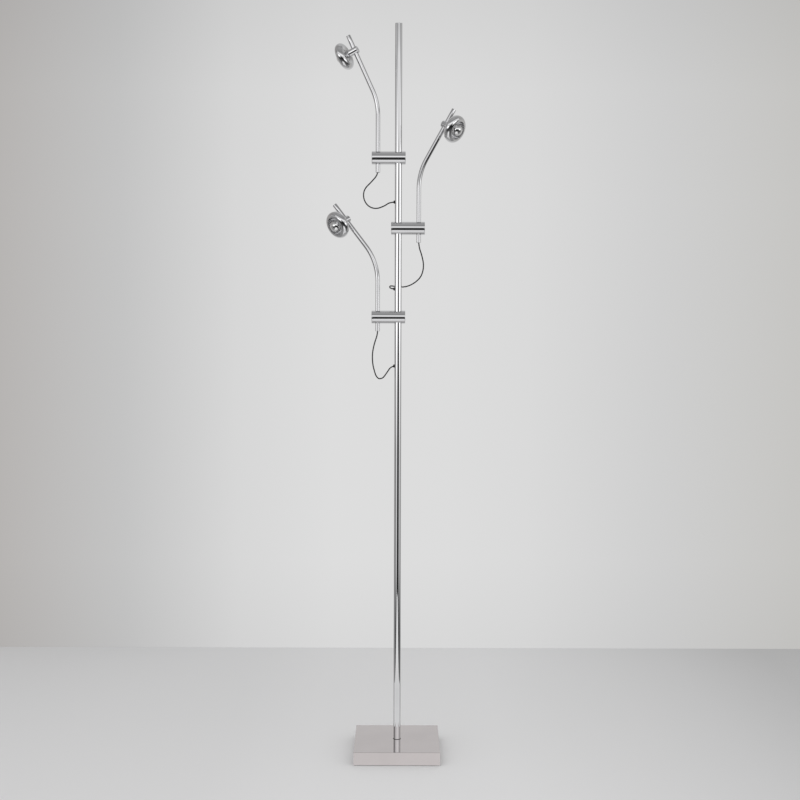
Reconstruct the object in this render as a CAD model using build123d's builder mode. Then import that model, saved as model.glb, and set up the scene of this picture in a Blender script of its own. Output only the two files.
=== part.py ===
from build123d import *
from math import acos, atan2, cos, hypot, pi, radians, sin, sqrt, tan
import os

# Tree floor lamp: a weighted square base, a slim pole and three clamped arms, each with a ring-shaped
# head. Millimetres and degrees. The origin is on the floor under the pole, +Z is up and -Y faces the
# viewer.

os.makedirs("parts", exist_ok=True)

# Clearances, each measured on one side
running_gap = 0.05  # a tube or bush that turns or slides
seat_gap = 0.1  # a piece that is pressed, screwed or dropped in
pass_gap = 0.4  # a piece that passes through a hole

# Base
base_side = 240.0
cover_height = 36.0
cover_wall = 2.5
cover_top = 3.0
cover_corner_radius = 1.5
cover_edge_radius = 1.2
felt_thickness = 2.0
felt_inset = 6.0
plate_thickness = 2.5
ballast_thickness = 24.0
ballast_inset = 12.0
ballast_corner_radius = 8.0
pillar_radius = 7.0
pillar_inset = 16.0
channel_width = 14.0
channel_depth = 8.0

# Countersunk screws under the base
base_screw_radius = 2.0
base_screw_head_radius = 4.0
base_screw_length = 12.0
driver_slot_width = 1.0
driver_slot_depth = 0.8

# Transformer and terminal block in the base
transformer_width = 54.0
transformer_length = 84.0
transformer_height = 24.0
transformer_x = 62.0
transformer_screw_spacing = 68.0
transformer_edge_radius = 3.0
transformer_step = 2.0
terminal_x = -54.0
terminal_width = 22.0
terminal_spacing = 12.0
terminal_height = 10.0
terminal_pillar_height = 5.0
terminal_pillar_width = 14.0
terminal_pillar_length = 9.0
terminal_screw_radius = 1.8
pocket_gap = 4.0

# Inlet for the supply lead, at the back of the base
inlet_height = 15.0
inlet_hole_radius = 5.0
inlet_flange_radius = 8.0
inlet_flange = 2.0
inlet_bore_radius = 3.3

# Pole
pole_radius = 10.0
pole_wall = 1.5
pole_top = 2050.0
pole_cap_thickness = 1.5
pole_cap_shank = 12.0
pole_edge = 0.4
foot_ring_thickness = 0.8
foot_ring_lip = 1.0
spigot_length = 40.0
nipple_radius = 7.0
nipple_wall = 1.5
nut_across_flats = 22.0
nut_thickness = 5.5
nut_flange_radius = 15.0
nut_flange = 1.5

# Clamps
clamp_radius = 18.0
clamp_wall = 1.5
arm_spacing = 57.0
clamp_past_pole = 20.0
clamp_past_arm = 17.0
cap_rim = 3.0
cap_rim_radius = 1.2
cap_shank = 3.0
bush_wall = 1.5
clamp_screw_radius = 2.5
clamp_screw_length = 6.0
clamp_screw_tip_radius = 1.5
clamp_screw_tip = 1.5
hex_depth = 2.0
hex_radius = 1.3

# Arms
arm_radius = 6.25
arm_wall = 1.25
arm_length = 391.0
arm_below_clamp = 40.0
arm_bend_radius = 165.0
arm_bend_centre = 152.0  # along the tube from the clamp's axis to the middle of the bend
arm_tip_wall = 2.0
arm_edge = 0.5
arm_groove = 0.5
arm_groove_width = 4.0
arm_slot_length = 6.0
cord_bush_length = 8.0
cord_bush_recess = 0.3

# Heads: distances along the head's axis start at the arm's axis
block_radius = 10.0
block_back = 9.5
block_front = 26.0
block_edge = 0.8
block_wire_radius = 2.5
head_screw_radius = 2.0
head_screw_length = 2.9
head_screw_hex_radius = 1.0
head_screw_hex_depth = 1.5
ring_radius = 26.0  # centre circle of the rounded ring
ring_section_radius = 12.5
ring_middle = 35.0
sheet = 1.0
lip_width = 0.7
dish_floor_radius = 10.0
curl_gap = 0.4
holder_radius = 7.5
holder_back = 10.5
holder_wall = 1.8
holder_flange_radius = 9.5
holder_flange = 1.2
bulb_cap_radius = 4.6
bulb_cap_start = 12.7
bulb_neck_end = 28.9
bulb_radius = 16.0
bulb_middle = 42.0

# Cords and grommets
cord_radius = 1.75
grommet_hole_radius = 3.2
grommet_length = 3.5
grommet_base_radius = 5.0
grommet_tip_radius = 3.2
grommet_mouth = 0.7
cord_inside_pole = 5.0  # how far from the pole's axis the free cord ends
cord_arc_share = 0.45  # of a corner's shorter run, which its arc may take
widest_cord_arc = 1000.0
lead_bend_radius = 5.5
lead_drift = 60.0
lead_height_in_base = 7.6
side_lead_x_share = 0.5  # of the room in the nipple, for the two leads that pass at its sides
side_lead_y_share = 0.85

# The three lamps
lower_clamp_height = 1241.0
middle_clamp_above_lower = 247.0
upper_clamp_above_middle = 194.0
upper_bend_angle = 24.5
middle_bend_angle = 29.0
lower_bend_angle = 37.6
lower_arm_turn_angle = 8.0  # the lower arm is turned back a little in its clamp
upper_head_turn_angle = -21.0  # about the arm, from outwards and down towards the viewer
middle_head_turn_angle = 35.0
lower_head_turn_angle = 45.0
upper_head_from_tip = 45.0
middle_head_from_tip = 49.0
lower_head_from_tip = 54.0
upper_grommet_below_clamp = 121.5
middle_grommet_below_clamp = 168.5
lower_grommet_below_clamp = 137.0

# Levels and sizes that follow
middle_clamp_height = lower_clamp_height + middle_clamp_above_lower
upper_clamp_height = middle_clamp_height + upper_clamp_above_middle
plate_bottom = felt_thickness
plate_top = plate_bottom + plate_thickness
cover_bottom = felt_thickness
base_top = cover_bottom + cover_height
ballast_top = base_top - cover_top
ballast_bottom = ballast_top - ballast_thickness
ballast_side = base_side - 2 * ballast_inset
cover_inner_side = base_side - 2 * cover_wall
pillar_spacing = ballast_side - 2 * pillar_inset
base_screw_cone = base_screw_head_radius - base_screw_radius
pole_foot = base_top + foot_ring_thickness
pole_tube_top = pole_top - pole_cap_thickness
pole_bore_radius = pole_radius - pole_wall
nipple_bore_radius = nipple_radius - nipple_wall
nut_top = ballast_bottom + channel_depth
nut_bottom = nut_top - nut_flange - nut_thickness
clamp_length = clamp_past_pole + arm_spacing + clamp_past_arm
clamp_bore_radius = clamp_radius - clamp_wall
bush_bore_radius = pole_radius + running_gap
bush_radius = bush_bore_radius + bush_wall
core_pole_bore_radius = bush_radius + running_gap
core_arm_bore_radius = arm_radius + running_gap
bush_height = 2 * (sqrt(clamp_bore_radius**2 - bush_radius**2) - pass_gap)
arm_bore_radius = arm_radius - arm_wall
block_length = block_back + block_front
ring_front = ring_middle + ring_section_radius
floor_front = block_front + sheet
cord_bore_radius = cord_radius + seat_gap
lead_lane = pole_bore_radius - cord_radius - 2 * seat_gap - pass_gap
lane_step = lead_lane * sin(radians(45))
terminal_length = 3 * terminal_spacing + terminal_spacing / 3

up = Vector(0, 0, 1)


class Lamp:
    """One clamp with its arm and head, at rest."""

    def __init__(self, name, side, clamp_height, bend, arm_turn, head_turn, head_from_tip, grommet_below):
        self.name = name
        self.side = side  # 1 where the arm stands at +X of the pole, -1 at -X
        self.height = clamp_height
        self.bend = radians(bend)
        self.grommet_height = clamp_height - grommet_below
        self.arm_x = side * arm_spacing
        self.arm_foot = clamp_height - arm_below_clamp
        turn = radians(arm_turn)
        self.outwards = Vector(side * cos(turn), sin(turn), 0)
        arc_length = arm_bend_radius * self.bend
        self.bend_start = arm_bend_centre - arc_length / 2
        self.upper_length = arm_length - arm_below_clamp - self.bend_start - arc_length
        self.along = self.outwards * sin(self.bend) + up * cos(self.bend)
        bend_end = (
            Vector(self.arm_x, 0, clamp_height + self.bend_start)
            + self.outwards * arm_bend_radius * (1 - cos(self.bend))
            + up * arm_bend_radius * sin(self.bend)
        )
        self.tip = bend_end + self.along * self.upper_length
        self.joint = self.tip - self.along * head_from_tip
        down = self.outwards * cos(self.bend) - up * sin(self.bend)
        across = self.along.cross(down) * -side
        self.facing = down * cos(radians(head_turn)) + across * sin(radians(head_turn))

    def arm_plane(self):
        """Upright plane of the arm: x runs outwards and y up from the clamp's axis."""
        return Plane(
            origin=(self.arm_x, 0, self.height), x_dir=self.outwards, z_dir=self.outwards.cross(up)
        )

    def head_profile_plane(self):
        """Plane of the head's turned profiles: x is the radius and y the distance from the arm."""
        return Plane(origin=self.joint, x_dir=self.along, z_dir=self.along.cross(self.facing))

    def head_plane(self, distance):
        """Plane across the head's axis at a distance from the arm."""
        return Plane(origin=self.joint + self.facing * distance, x_dir=self.along, z_dir=self.facing)

    def head_axis(self):
        return Axis(self.joint, self.facing)


lamps = [
    Lamp(
        "upper", -1, upper_clamp_height, upper_bend_angle, 0,
        upper_head_turn_angle, upper_head_from_tip, upper_grommet_below_clamp,
    ),
    Lamp(
        "middle", 1, middle_clamp_height, middle_bend_angle, 0,
        middle_head_turn_angle, middle_head_from_tip, middle_grommet_below_clamp,
    ),
    Lamp(
        "lower", -1, lower_clamp_height, lower_bend_angle, lower_arm_turn_angle,
        lower_head_turn_angle, lower_head_from_tip, lower_grommet_below_clamp,
    ),
]


def keep(part, name):
    """Label a finished piece and write it to its own file."""
    part.label = name
    export_step(part, f"parts/{name}.step")


def front_plane(x, y, z):
    """Plane that faces the viewer through a point: its x is +X and its y is +Z."""
    return Plane(origin=(x, y, z), x_dir=(1, 0, 0), z_dir=(0, -1, 0))


def circles_meet(first, first_radius, second, second_radius):
    """The two points where two circles cross, each centre given as (x, y)."""
    dx, dy = second[0] - first[0], second[1] - first[1]
    apart = hypot(dx, dy)
    towards = atan2(dy, dx)
    spread = acos((first_radius**2 + apart**2 - second_radius**2) / (2 * first_radius * apart))
    return [
        (first[0] + first_radius * cos(angle), first[1] + first_radius * sin(angle))
        for angle in (towards - spread, towards + spread)
    ]


def between(centre, radius, start, end):
    """The point half-way along the short arc from start to end about a centre."""
    first = atan2(start[1] - centre[1], start[0] - centre[0])
    last = atan2(end[1] - centre[1], end[0] - centre[0])
    middle = (first + last) / 2
    return (centre[0] + radius * cos(middle), centre[1] + radius * sin(middle))


# Base -------------------------------------------------------------------------------------------

screw_places = [
    (x * pillar_spacing / 2, y * pillar_spacing / 2) for x in (-1, 1) for y in (-1, 1)
]
screw_places += [(transformer_x, y * transformer_screw_spacing / 2) for y in (-1, 1)]
screw_places += [(terminal_x, y * terminal_spacing) for y in (-1, 1)]

with BuildPart() as base_cover:
    with BuildSketch(Plane.XY.offset(cover_bottom)):
        Rectangle(base_side, base_side)
    extrude(amount=cover_height)
    fillet(base_cover.edges().filter_by(Axis.Z), radius=cover_corner_radius)
    fillet(base_cover.faces().sort_by(Axis.Z)[-1].edges(), radius=cover_edge_radius)
    with BuildSketch(Plane.XY.offset(cover_bottom)):
        Rectangle(cover_inner_side, cover_inner_side)
    extrude(amount=cover_height - cover_top, mode=Mode.SUBTRACT)
    with BuildSketch(Plane.XY.offset(base_top)):
        Circle(nipple_radius + pass_gap)
    extrude(amount=-cover_top, mode=Mode.SUBTRACT)
    with BuildSketch(Plane.XZ.offset(-base_side / 2)):
        with Locations((0, inlet_height)):
            Circle(inlet_hole_radius)
    extrude(amount=cover_wall, mode=Mode.SUBTRACT)
keep(base_cover.part, "base_cover")

with BuildPart() as base_felt:
    with BuildSketch(Plane.XY):
        Rectangle(base_side - 2 * felt_inset, base_side - 2 * felt_inset)
        with Locations(*screw_places):
            Circle(base_screw_head_radius + pass_gap, mode=Mode.SUBTRACT)
    extrude(amount=felt_thickness)
keep(base_felt.part, "base_felt")

with BuildPart() as bottom_plate:
    with BuildSketch(Plane.XY.offset(plate_bottom)):
        Rectangle(cover_inner_side - 2 * pass_gap, cover_inner_side - 2 * pass_gap)
    extrude(amount=plate_thickness)
    for x, y in screw_places:
        with BuildSketch(front_plane(x, y, plate_bottom)):
            with BuildLine():
                Polyline(
                    (0, 0),
                    (base_screw_head_radius + seat_gap, 0),
                    (base_screw_radius + seat_gap, base_screw_cone),
                    (base_screw_radius + seat_gap, plate_thickness),
                    (0, plate_thickness),
                    close=True,
                )
            make_face()
        revolve(axis=Axis((x, y, 0), (0, 0, 1)), mode=Mode.SUBTRACT)
keep(bottom_plate.part, "bottom_plate")

with BuildPart() as base_ballast:
    with BuildSketch(Plane.XY.offset(ballast_bottom)):
        RectangleRounded(ballast_side, ballast_side, ballast_corner_radius)
        Circle(nipple_radius + pass_gap, mode=Mode.SUBTRACT)
        with Locations((transformer_x, 0)):
            Rectangle(
                transformer_width + 2 * pocket_gap, transformer_length + 2 * pocket_gap, mode=Mode.SUBTRACT
            )
        with Locations((terminal_x, 0)):
            Rectangle(
                terminal_width + 2 * pocket_gap, terminal_length + 2 * pocket_gap, mode=Mode.SUBTRACT
            )
    extrude(amount=ballast_thickness)
    with BuildSketch(Plane.XY.offset(ballast_bottom)):
        Circle(nut_flange_radius + pass_gap)
        with Locations(((transformer_x + terminal_x) / 2, 0)):
            Rectangle(transformer_x - terminal_x, channel_width)
        with Locations((0, ballast_side / 4)):
            Rectangle(channel_width, ballast_side / 2)
    extrude(amount=channel_depth, mode=Mode.SUBTRACT)
    with BuildSketch(Plane.XY.offset(plate_top)):
        with GridLocations(pillar_spacing, pillar_spacing, 2, 2):
            Circle(pillar_radius)
    extrude(amount=ballast_bottom - plate_top)
    with BuildSketch(Plane.XY.offset(plate_top)):
        with GridLocations(pillar_spacing, pillar_spacing, 2, 2):
            Circle(base_screw_radius + seat_gap)
    extrude(amount=base_screw_length, mode=Mode.SUBTRACT)
keep(base_ballast.part, "base_ballast")

with BuildPart() as base_screws:
    for x, y in screw_places:
        with BuildSketch(front_plane(x, y, plate_bottom)):
            with BuildLine():
                Polyline(
                    (0, 0),
                    (base_screw_head_radius, 0),
                    (base_screw_radius, base_screw_cone),
                    (base_screw_radius, base_screw_length),
                    (0, base_screw_length),
                    close=True,
                )
            make_face()
        revolve(axis=Axis((x, y, 0), (0, 0, 1)))
    with BuildSketch(Plane.XY.offset(plate_bottom)):
        with Locations(*screw_places):
            Rectangle(2 * base_screw_head_radius, driver_slot_width)
    extrude(amount=driver_slot_depth, mode=Mode.SUBTRACT)
keep(base_screws.part, "base_screws")

with BuildPart() as transformer:
    with BuildSketch(Plane.XY.offset(plate_top)):
        with Locations((transformer_x, 0)):
            RectangleRounded(transformer_width, transformer_length, transformer_edge_radius)
    extrude(amount=transformer_height - transformer_step)
    with BuildSketch(Plane.XY.offset(plate_top + transformer_height - transformer_step)):
        with Locations((transformer_x, 0)):
            RectangleRounded(
                transformer_width - 2 * transformer_step,
                transformer_length - 2 * transformer_step,
                transformer_edge_radius,
            )
    extrude(amount=transformer_step)
    with BuildSketch(Plane.XY.offset(plate_top)):
        with Locations((transformer_x, 0)):
            with GridLocations(0, transformer_screw_spacing, 1, 2):
                Circle(base_screw_radius + seat_gap)
    extrude(amount=base_screw_length, mode=Mode.SUBTRACT)
keep(transformer.part, "transformer")

lead_end_x = terminal_x + terminal_width / 2 - 3 * cord_radius
with BuildPart() as terminal_block:
    with BuildSketch(Plane.XY.offset(plate_top)):
        with Locations((terminal_x, 0)):
            Rectangle(terminal_width, terminal_length)
    extrude(amount=terminal_height)
    with BuildSketch(Plane.XY.offset(plate_top + terminal_height)):
        with Locations((terminal_x, 0)):
            with GridLocations(0, terminal_spacing, 1, 3):
                Rectangle(terminal_pillar_width, terminal_pillar_length)
                Circle(terminal_screw_radius, mode=Mode.SUBTRACT)
    extrude(amount=terminal_pillar_height)
    with BuildSketch(Plane.YZ.offset(terminal_x + terminal_width / 2)):
        with Locations((0, lead_height_in_base)):
            with GridLocations(terminal_spacing, 0, 3, 1):
                Circle(cord_bore_radius)
    extrude(amount=lead_end_x - terminal_x - terminal_width / 2, mode=Mode.SUBTRACT)
    with BuildSketch(Plane.XY.offset(plate_top)):
        with Locations(*screw_places[-2:]):
            Circle(base_screw_radius + seat_gap)
    extrude(amount=base_screw_length, mode=Mode.SUBTRACT)
keep(terminal_block.part, "terminal_block")

with BuildPart() as inlet_grommet:
    with BuildSketch(Plane.XY.offset(inlet_height)):
        with BuildLine():
            outside = base_side / 2
            inside = outside - cover_wall
            Polyline(
                (inlet_bore_radius, outside + inlet_flange),
                (inlet_flange_radius - inlet_flange / 2, outside + inlet_flange),
                (inlet_flange_radius, outside),
                (inlet_hole_radius - seat_gap, outside),
                (inlet_hole_radius - seat_gap, inside),
                (inlet_flange_radius - inlet_flange / 2, inside),
                (inlet_flange_radius - inlet_flange / 2, inside - inlet_flange),
                (inlet_bore_radius, inside - inlet_flange),
                close=True,
            )
        make_face()
    revolve(axis=Axis((0, 0, inlet_height), (0, 1, 0)))
keep(inlet_grommet.part, "inlet_grommet")


# Pole -------------------------------------------------------------------------------------------

with BuildPart() as pole_foot_ring:
    with BuildSketch(Plane.XY.offset(base_top)):
        Circle(pole_radius + foot_ring_lip)
        Circle(nipple_radius + pass_gap, mode=Mode.SUBTRACT)
    extrude(amount=foot_ring_thickness)
keep(pole_foot_ring.part, "pole_foot_ring")

with BuildPart() as pole_tube:
    with BuildSketch(Plane.XY.offset(pole_foot)):
        Circle(pole_radius)
        Circle(pole_bore_radius, mode=Mode.SUBTRACT)
    extrude(amount=pole_tube_top - pole_foot)
    with BuildSketch(Plane.YZ):
        with Locations(*[(0, lamp.grommet_height) for lamp in lamps]):
            Circle(grommet_hole_radius)
    extrude(amount=-pole_radius, mode=Mode.SUBTRACT)
keep(pole_tube.part, "pole_tube")

with BuildPart() as pole_top_plug:
    with BuildSketch(Plane.XY.offset(pole_tube_top)):
        Circle(pole_radius)
    extrude(amount=pole_cap_thickness)
    chamfer(pole_top_plug.faces().sort_by(Axis.Z)[-1].edges(), length=pole_edge)
    with BuildSketch(Plane.XY.offset(pole_tube_top)):
        Circle(pole_bore_radius - seat_gap)
    extrude(amount=-pole_cap_shank)
keep(pole_top_plug.part, "pole_top_plug")

with BuildPart() as pole_spigot:
    with BuildSketch(Plane.XY.offset(pole_foot)):
        Circle(pole_bore_radius - seat_gap)
        Circle(nipple_radius + seat_gap, mode=Mode.SUBTRACT)
    extrude(amount=spigot_length)
    chamfer(pole_spigot.faces().sort_by(Axis.Z)[-1].edges(), length=pole_edge)
keep(pole_spigot.part, "pole_spigot")

with BuildPart() as pole_nipple:
    with BuildSketch(Plane.XY.offset(nut_bottom)):
        Circle(nipple_radius)
        Circle(nipple_bore_radius, mode=Mode.SUBTRACT)
    extrude(amount=pole_foot + spigot_length - nipple_radius - nut_bottom)
keep(pole_nipple.part, "pole_nipple")

with BuildPart() as pole_nut:
    with BuildSketch(Plane.XY.offset(nut_bottom)):
        RegularPolygon(nut_across_flats / 2, 6, major_radius=False)
    extrude(amount=nut_thickness)
    with BuildSketch(Plane.XY.offset(nut_bottom + nut_thickness)):
        Circle(nut_flange_radius)
    extrude(amount=nut_flange)
    with BuildSketch(Plane.XY.offset(nut_bottom)):
        Circle(nipple_radius + seat_gap)
    extrude(amount=nut_thickness + nut_flange, mode=Mode.SUBTRACT)
keep(pole_nut.part, "pole_nut")


# Cords ------------------------------------------------------------------------------------------

def bend_radii(points, largest):
    """As large an arc at each corner as its two runs allow, up to a limit."""
    radii = []
    for before, corner, after in zip(points, points[1:], points[2:]):
        come, go = corner - before, after - corner
        half_turn = radians(come.get_angle(go)) / 2
        longest_cut = cord_arc_share * min(come.length, go.length)
        radii.append(min(longest_cut / tan(half_turn), largest))
    return radii


def cord_tube(name, route, largest=widest_cord_arc):
    """A round cord along straight runs joined by tangent arcs."""
    points = [Vector(*point) for point in route]
    radii = bend_radii(points, largest)
    with BuildPart() as cord:
        with BuildLine() as path:
            FilletPolyline(*points, radius=radii)
        with BuildSketch(Plane(origin=points[0], z_dir=points[1] - points[0])):
            Circle(cord_radius)
        sweep()
    length = path.wire().length
    share = cord.part.volume / (length * pi * cord_radius**2)
    print(name, "length", round(length, 1), "volume share", round(share, 4))
    print("  radii", [round(radius, 1) for radius in radii])
    return cord.part


cord_top = arm_below_clamp - cord_bush_length  # where the free cord starts, below the clamp's axis

# Each route runs from the arm's lower end to the pole's grommet. A point is (x, y, distance below the
# clamp's axis).
flex_routes = {
    "upper": [
        (-arm_spacing, 0, cord_top),
        (-arm_spacing, 0, 46),
        (-76, 0, 67),
        (-96, 0, 87),
        (-97.5, 0, 113),
        (-84, 0, 134),
        (-62, 0, 141),
        (-38.5, 0, 132.5),
        (-23, 0, upper_grommet_below_clamp),
        (-cord_inside_pole, 0, upper_grommet_below_clamp),
    ],
    "middle": [
        (arm_spacing, 0, cord_top),
        (arm_spacing, 0, 49),
        (66.5, 0, 76),
        (72, 2, 103),
        (66.5, 5, 131),
        (50, 8, 149),
        (29, 13, 160.5),
        (8, 18, 163.5),
        (-13, 21, 160),
        (-24.5, 13.5, 159.5),
        (-21.5, 0, middle_grommet_below_clamp),
        (-cord_inside_pole, 0, middle_grommet_below_clamp),
    ],
    "lower": [
        (-arm_spacing, 0, cord_top),
        (-arm_spacing, 0, 48),
        (-66, 0, 73),
        (-72, 0, 102),
        (-71, 0, 131),
        (-66, 0, 151),
        (-62, 0, 164),
        (-54.5, 0, 173.5),
        (-42, 0, 171.5),
        (-31, 0, 156),
        (-18.5, 0, lower_grommet_below_clamp),
        (-cord_inside_pole, 0, lower_grommet_below_clamp),
    ],
}

# Inside the pole each lead turns down, drifts to its own side and passes through the nipple.
lead_sides = {"upper": 1, "middle": -1, "lower": 0}
drift_top = pole_foot + spigot_length + lead_drift
nipple_lane = nipple_bore_radius - cord_radius - 2 * seat_gap - pass_gap

leads = []
for lamp in lamps:
    side = lead_sides[lamp.name]
    entry = (-cord_inside_pole, 0, lamp.grommet_height)
    turn_down = (lane_step, 0, lamp.grommet_height)
    drift = [
        (lane_step, 0, lamp.grommet_height - lead_drift),
        (lane_step, side * lane_step, lamp.grommet_height - 2 * lead_drift),
    ] if side else []
    low_x = nipple_lane * (side_lead_x_share if side else -1)
    low_y = side * nipple_lane * side_lead_y_share
    lane = (lane_step, side * lane_step, drift_top)
    foot = [
        (low_x, low_y, drift_top - lead_drift),
        (low_x, low_y, lead_height_in_base),
    ]
    away = [
        (terminal_x / 2, side * terminal_spacing, lead_height_in_base),
    ] if side else []
    end = (lead_end_x, side * terminal_spacing, lead_height_in_base)
    route = [entry, turn_down, *drift, lane, *foot, *away, end]
    leads.append(cord_tube(f"lead_{lamp.name}", route, lead_bend_radius))
keep(Compound(children=leads), "pole_loom")

for lamp in lamps:
    route = [(x, y, lamp.height - below) for x, y, below in flex_routes[lamp.name]]
    keep(cord_tube(f"flex_{lamp.name}", route), f"flex_{lamp.name}")


# Pole grommets ----------------------------------------------------------------------------------

for lamp in lamps:
    tip_x = -pole_radius - grommet_length
    with BuildPart() as grommet:
        with BuildSketch(front_plane(0, 0, lamp.grommet_height)):
            with BuildLine():
                Polyline(
                    (0, 0),
                    (tip_x, 0),
                    (tip_x, grommet_tip_radius),
                    (-pole_radius, grommet_base_radius),
                    (0, grommet_base_radius),
                    close=True,
                )
            make_face()
        revolve(axis=Axis((0, 0, lamp.grommet_height), (1, 0, 0)))
        with BuildSketch(Plane.XY.offset(lamp.grommet_height - grommet_base_radius)):
            Circle(pole_radius + running_gap)
        extrude(amount=2 * grommet_base_radius, mode=Mode.SUBTRACT)
        with BuildSketch(Plane.YZ.offset(-pole_bore_radius)):
            with Locations((0, lamp.grommet_height)):
                Circle(grommet_hole_radius - seat_gap)
        extrude(amount=-pole_wall - grommet_length / 2)
        with BuildSketch(front_plane(0, 0, lamp.grommet_height)):
            with BuildLine():
                Polyline(
                    (0, 0),
                    (tip_x, 0),
                    (tip_x, cord_bore_radius + grommet_mouth),
                    (-pole_radius, cord_bore_radius),
                    (0, cord_bore_radius),
                    close=True,
                )
            make_face()
        revolve(axis=Axis((0, 0, lamp.grommet_height), (1, 0, 0)), mode=Mode.SUBTRACT)
    keep(grommet.part, f"grommet_{lamp.name}")


# Clamps -----------------------------------------------------------------------------------------

for lamp in lamps:
    pole_end = -lamp.side * clamp_past_pole
    arm_end = lamp.side * (arm_spacing + clamp_past_arm)
    low_x, high_x = min(pole_end, arm_end), max(pole_end, arm_end)
    both_axes = [(0, 0), (lamp.arm_x, 0)]
    screw_axes = [(0, lamp.height), (lamp.arm_x, lamp.height)]

    with BuildPart() as clamp_shell:
        with BuildSketch(Plane.YZ.offset(low_x + cap_rim)):
            with Locations((0, lamp.height)):
                Circle(clamp_radius)
                Circle(clamp_bore_radius, mode=Mode.SUBTRACT)
        extrude(amount=clamp_length - 2 * cap_rim)
        with BuildSketch(Plane.XY.offset(lamp.height - clamp_radius)):
            Circle(pole_radius + pass_gap)
            with Locations((lamp.arm_x, 0)):
                Circle(arm_radius + pass_gap)
        extrude(amount=2 * clamp_radius, mode=Mode.SUBTRACT)
        with BuildSketch(Plane.XZ):
            with Locations(*screw_axes):
                Circle(clamp_screw_radius + seat_gap)
        extrude(amount=-clamp_radius, mode=Mode.SUBTRACT)
    keep(clamp_shell.part, f"clamp_shell_{lamp.name}")

    with BuildPart() as clamp_core:
        with BuildSketch(Plane.YZ.offset(low_x + cap_rim + cap_shank + seat_gap)):
            with Locations((0, lamp.height)):
                Circle(clamp_bore_radius - seat_gap)
        extrude(amount=clamp_length - 2 * (cap_rim + cap_shank + seat_gap))
        with BuildSketch(Plane.XY.offset(lamp.height - clamp_radius)):
            Circle(core_pole_bore_radius)
            with Locations((lamp.arm_x, 0)):
                Circle(core_arm_bore_radius)
        extrude(amount=2 * clamp_radius, mode=Mode.SUBTRACT)
        with BuildSketch(Plane.XZ):
            with Locations(*screw_axes):
                Circle(clamp_screw_radius + seat_gap)
        extrude(amount=-clamp_radius, mode=Mode.SUBTRACT)
    keep(clamp_core.part, f"clamp_core_{lamp.name}")

    with BuildPart() as clamp_caps:
        for face_x, inwards in ((low_x, 1), (high_x, -1)):
            with BuildSketch(front_plane(face_x, 0, lamp.height)):
                with BuildLine():
                    Line((0, 0), (0, clamp_radius - cap_rim_radius))
                    ThreePointArc(
                        (0, clamp_radius - cap_rim_radius),
                        (
                            inwards * cap_rim_radius * (1 - cos(radians(45))),
                            clamp_radius - cap_rim_radius * (1 - sin(radians(45))),
                        ),
                        (inwards * cap_rim_radius, clamp_radius),
                    )
                    Polyline(
                        (inwards * cap_rim_radius, clamp_radius),
                        (inwards * cap_rim, clamp_radius),
                        (inwards * cap_rim, clamp_bore_radius - seat_gap),
                        (inwards * (cap_rim + cap_shank), clamp_bore_radius - seat_gap),
                        (inwards * (cap_rim + cap_shank), 0),
                        (0, 0),
                    )
                make_face()
            revolve(axis=Axis((0, 0, lamp.height), (1, 0, 0)))
    keep(clamp_caps.part, f"clamp_caps_{lamp.name}")

    with BuildPart() as clamp_bush:
        with BuildSketch(Plane.XY.offset(lamp.height - bush_height / 2)):
            Circle(bush_radius)
            Circle(bush_bore_radius, mode=Mode.SUBTRACT)
        extrude(amount=bush_height)
    keep(clamp_bush.part, f"clamp_bush_{lamp.name}")

    with BuildPart() as clamp_screws:
        for x, touches in ((0, bush_radius), (lamp.arm_x, arm_radius - arm_groove)):
            tip_y = touches + seat_gap
            with BuildSketch(Plane.XZ.offset(-tip_y)):
                with Locations((x, lamp.height)):
                    Circle(clamp_screw_tip_radius)
            extrude(amount=-clamp_screw_tip)
            with BuildSketch(Plane.XZ.offset(-tip_y - clamp_screw_tip)):
                with Locations((x, lamp.height)):
                    Circle(clamp_screw_radius)
            extrude(amount=clamp_screw_tip - clamp_screw_length)
            with BuildSketch(Plane.XZ.offset(-tip_y - clamp_screw_length)):
                with Locations((x, lamp.height)):
                    RegularPolygon(hex_radius, 6)
            extrude(amount=hex_depth, mode=Mode.SUBTRACT)
    keep(clamp_screws.part, f"clamp_screws_{lamp.name}")


# Arms -------------------------------------------------------------------------------------------

def arm_sweep(lamp, start, end, radius, bore=0.0):
    """A round bar or tube along the arm's line, from start to end measured along it from its foot."""
    straight_after = end - arm_below_clamp - lamp.bend_start - arm_bend_radius * lamp.bend
    bend_out = arm_bend_radius * (1 - cos(lamp.bend))
    bend_top = lamp.bend_start + arm_bend_radius * sin(lamp.bend)
    end_out = bend_out + straight_after * sin(lamp.bend)
    end_top = bend_top + straight_after * cos(lamp.bend)
    with BuildPart() as bar:
        with BuildLine(lamp.arm_plane()):
            Line((0, start - arm_below_clamp), (0, lamp.bend_start))
            RadiusArc((0, lamp.bend_start), (bend_out, bend_top), arm_bend_radius)
            Line((bend_out, bend_top), (end_out, end_top))
        foot = Vector(lamp.arm_x, 0, lamp.arm_foot + start)
        with BuildSketch(Plane(origin=foot, x_dir=lamp.outwards, z_dir=up)):
            Circle(radius)
            if bore:
                Circle(bore, mode=Mode.SUBTRACT)
        sweep()
    return bar.part


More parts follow.
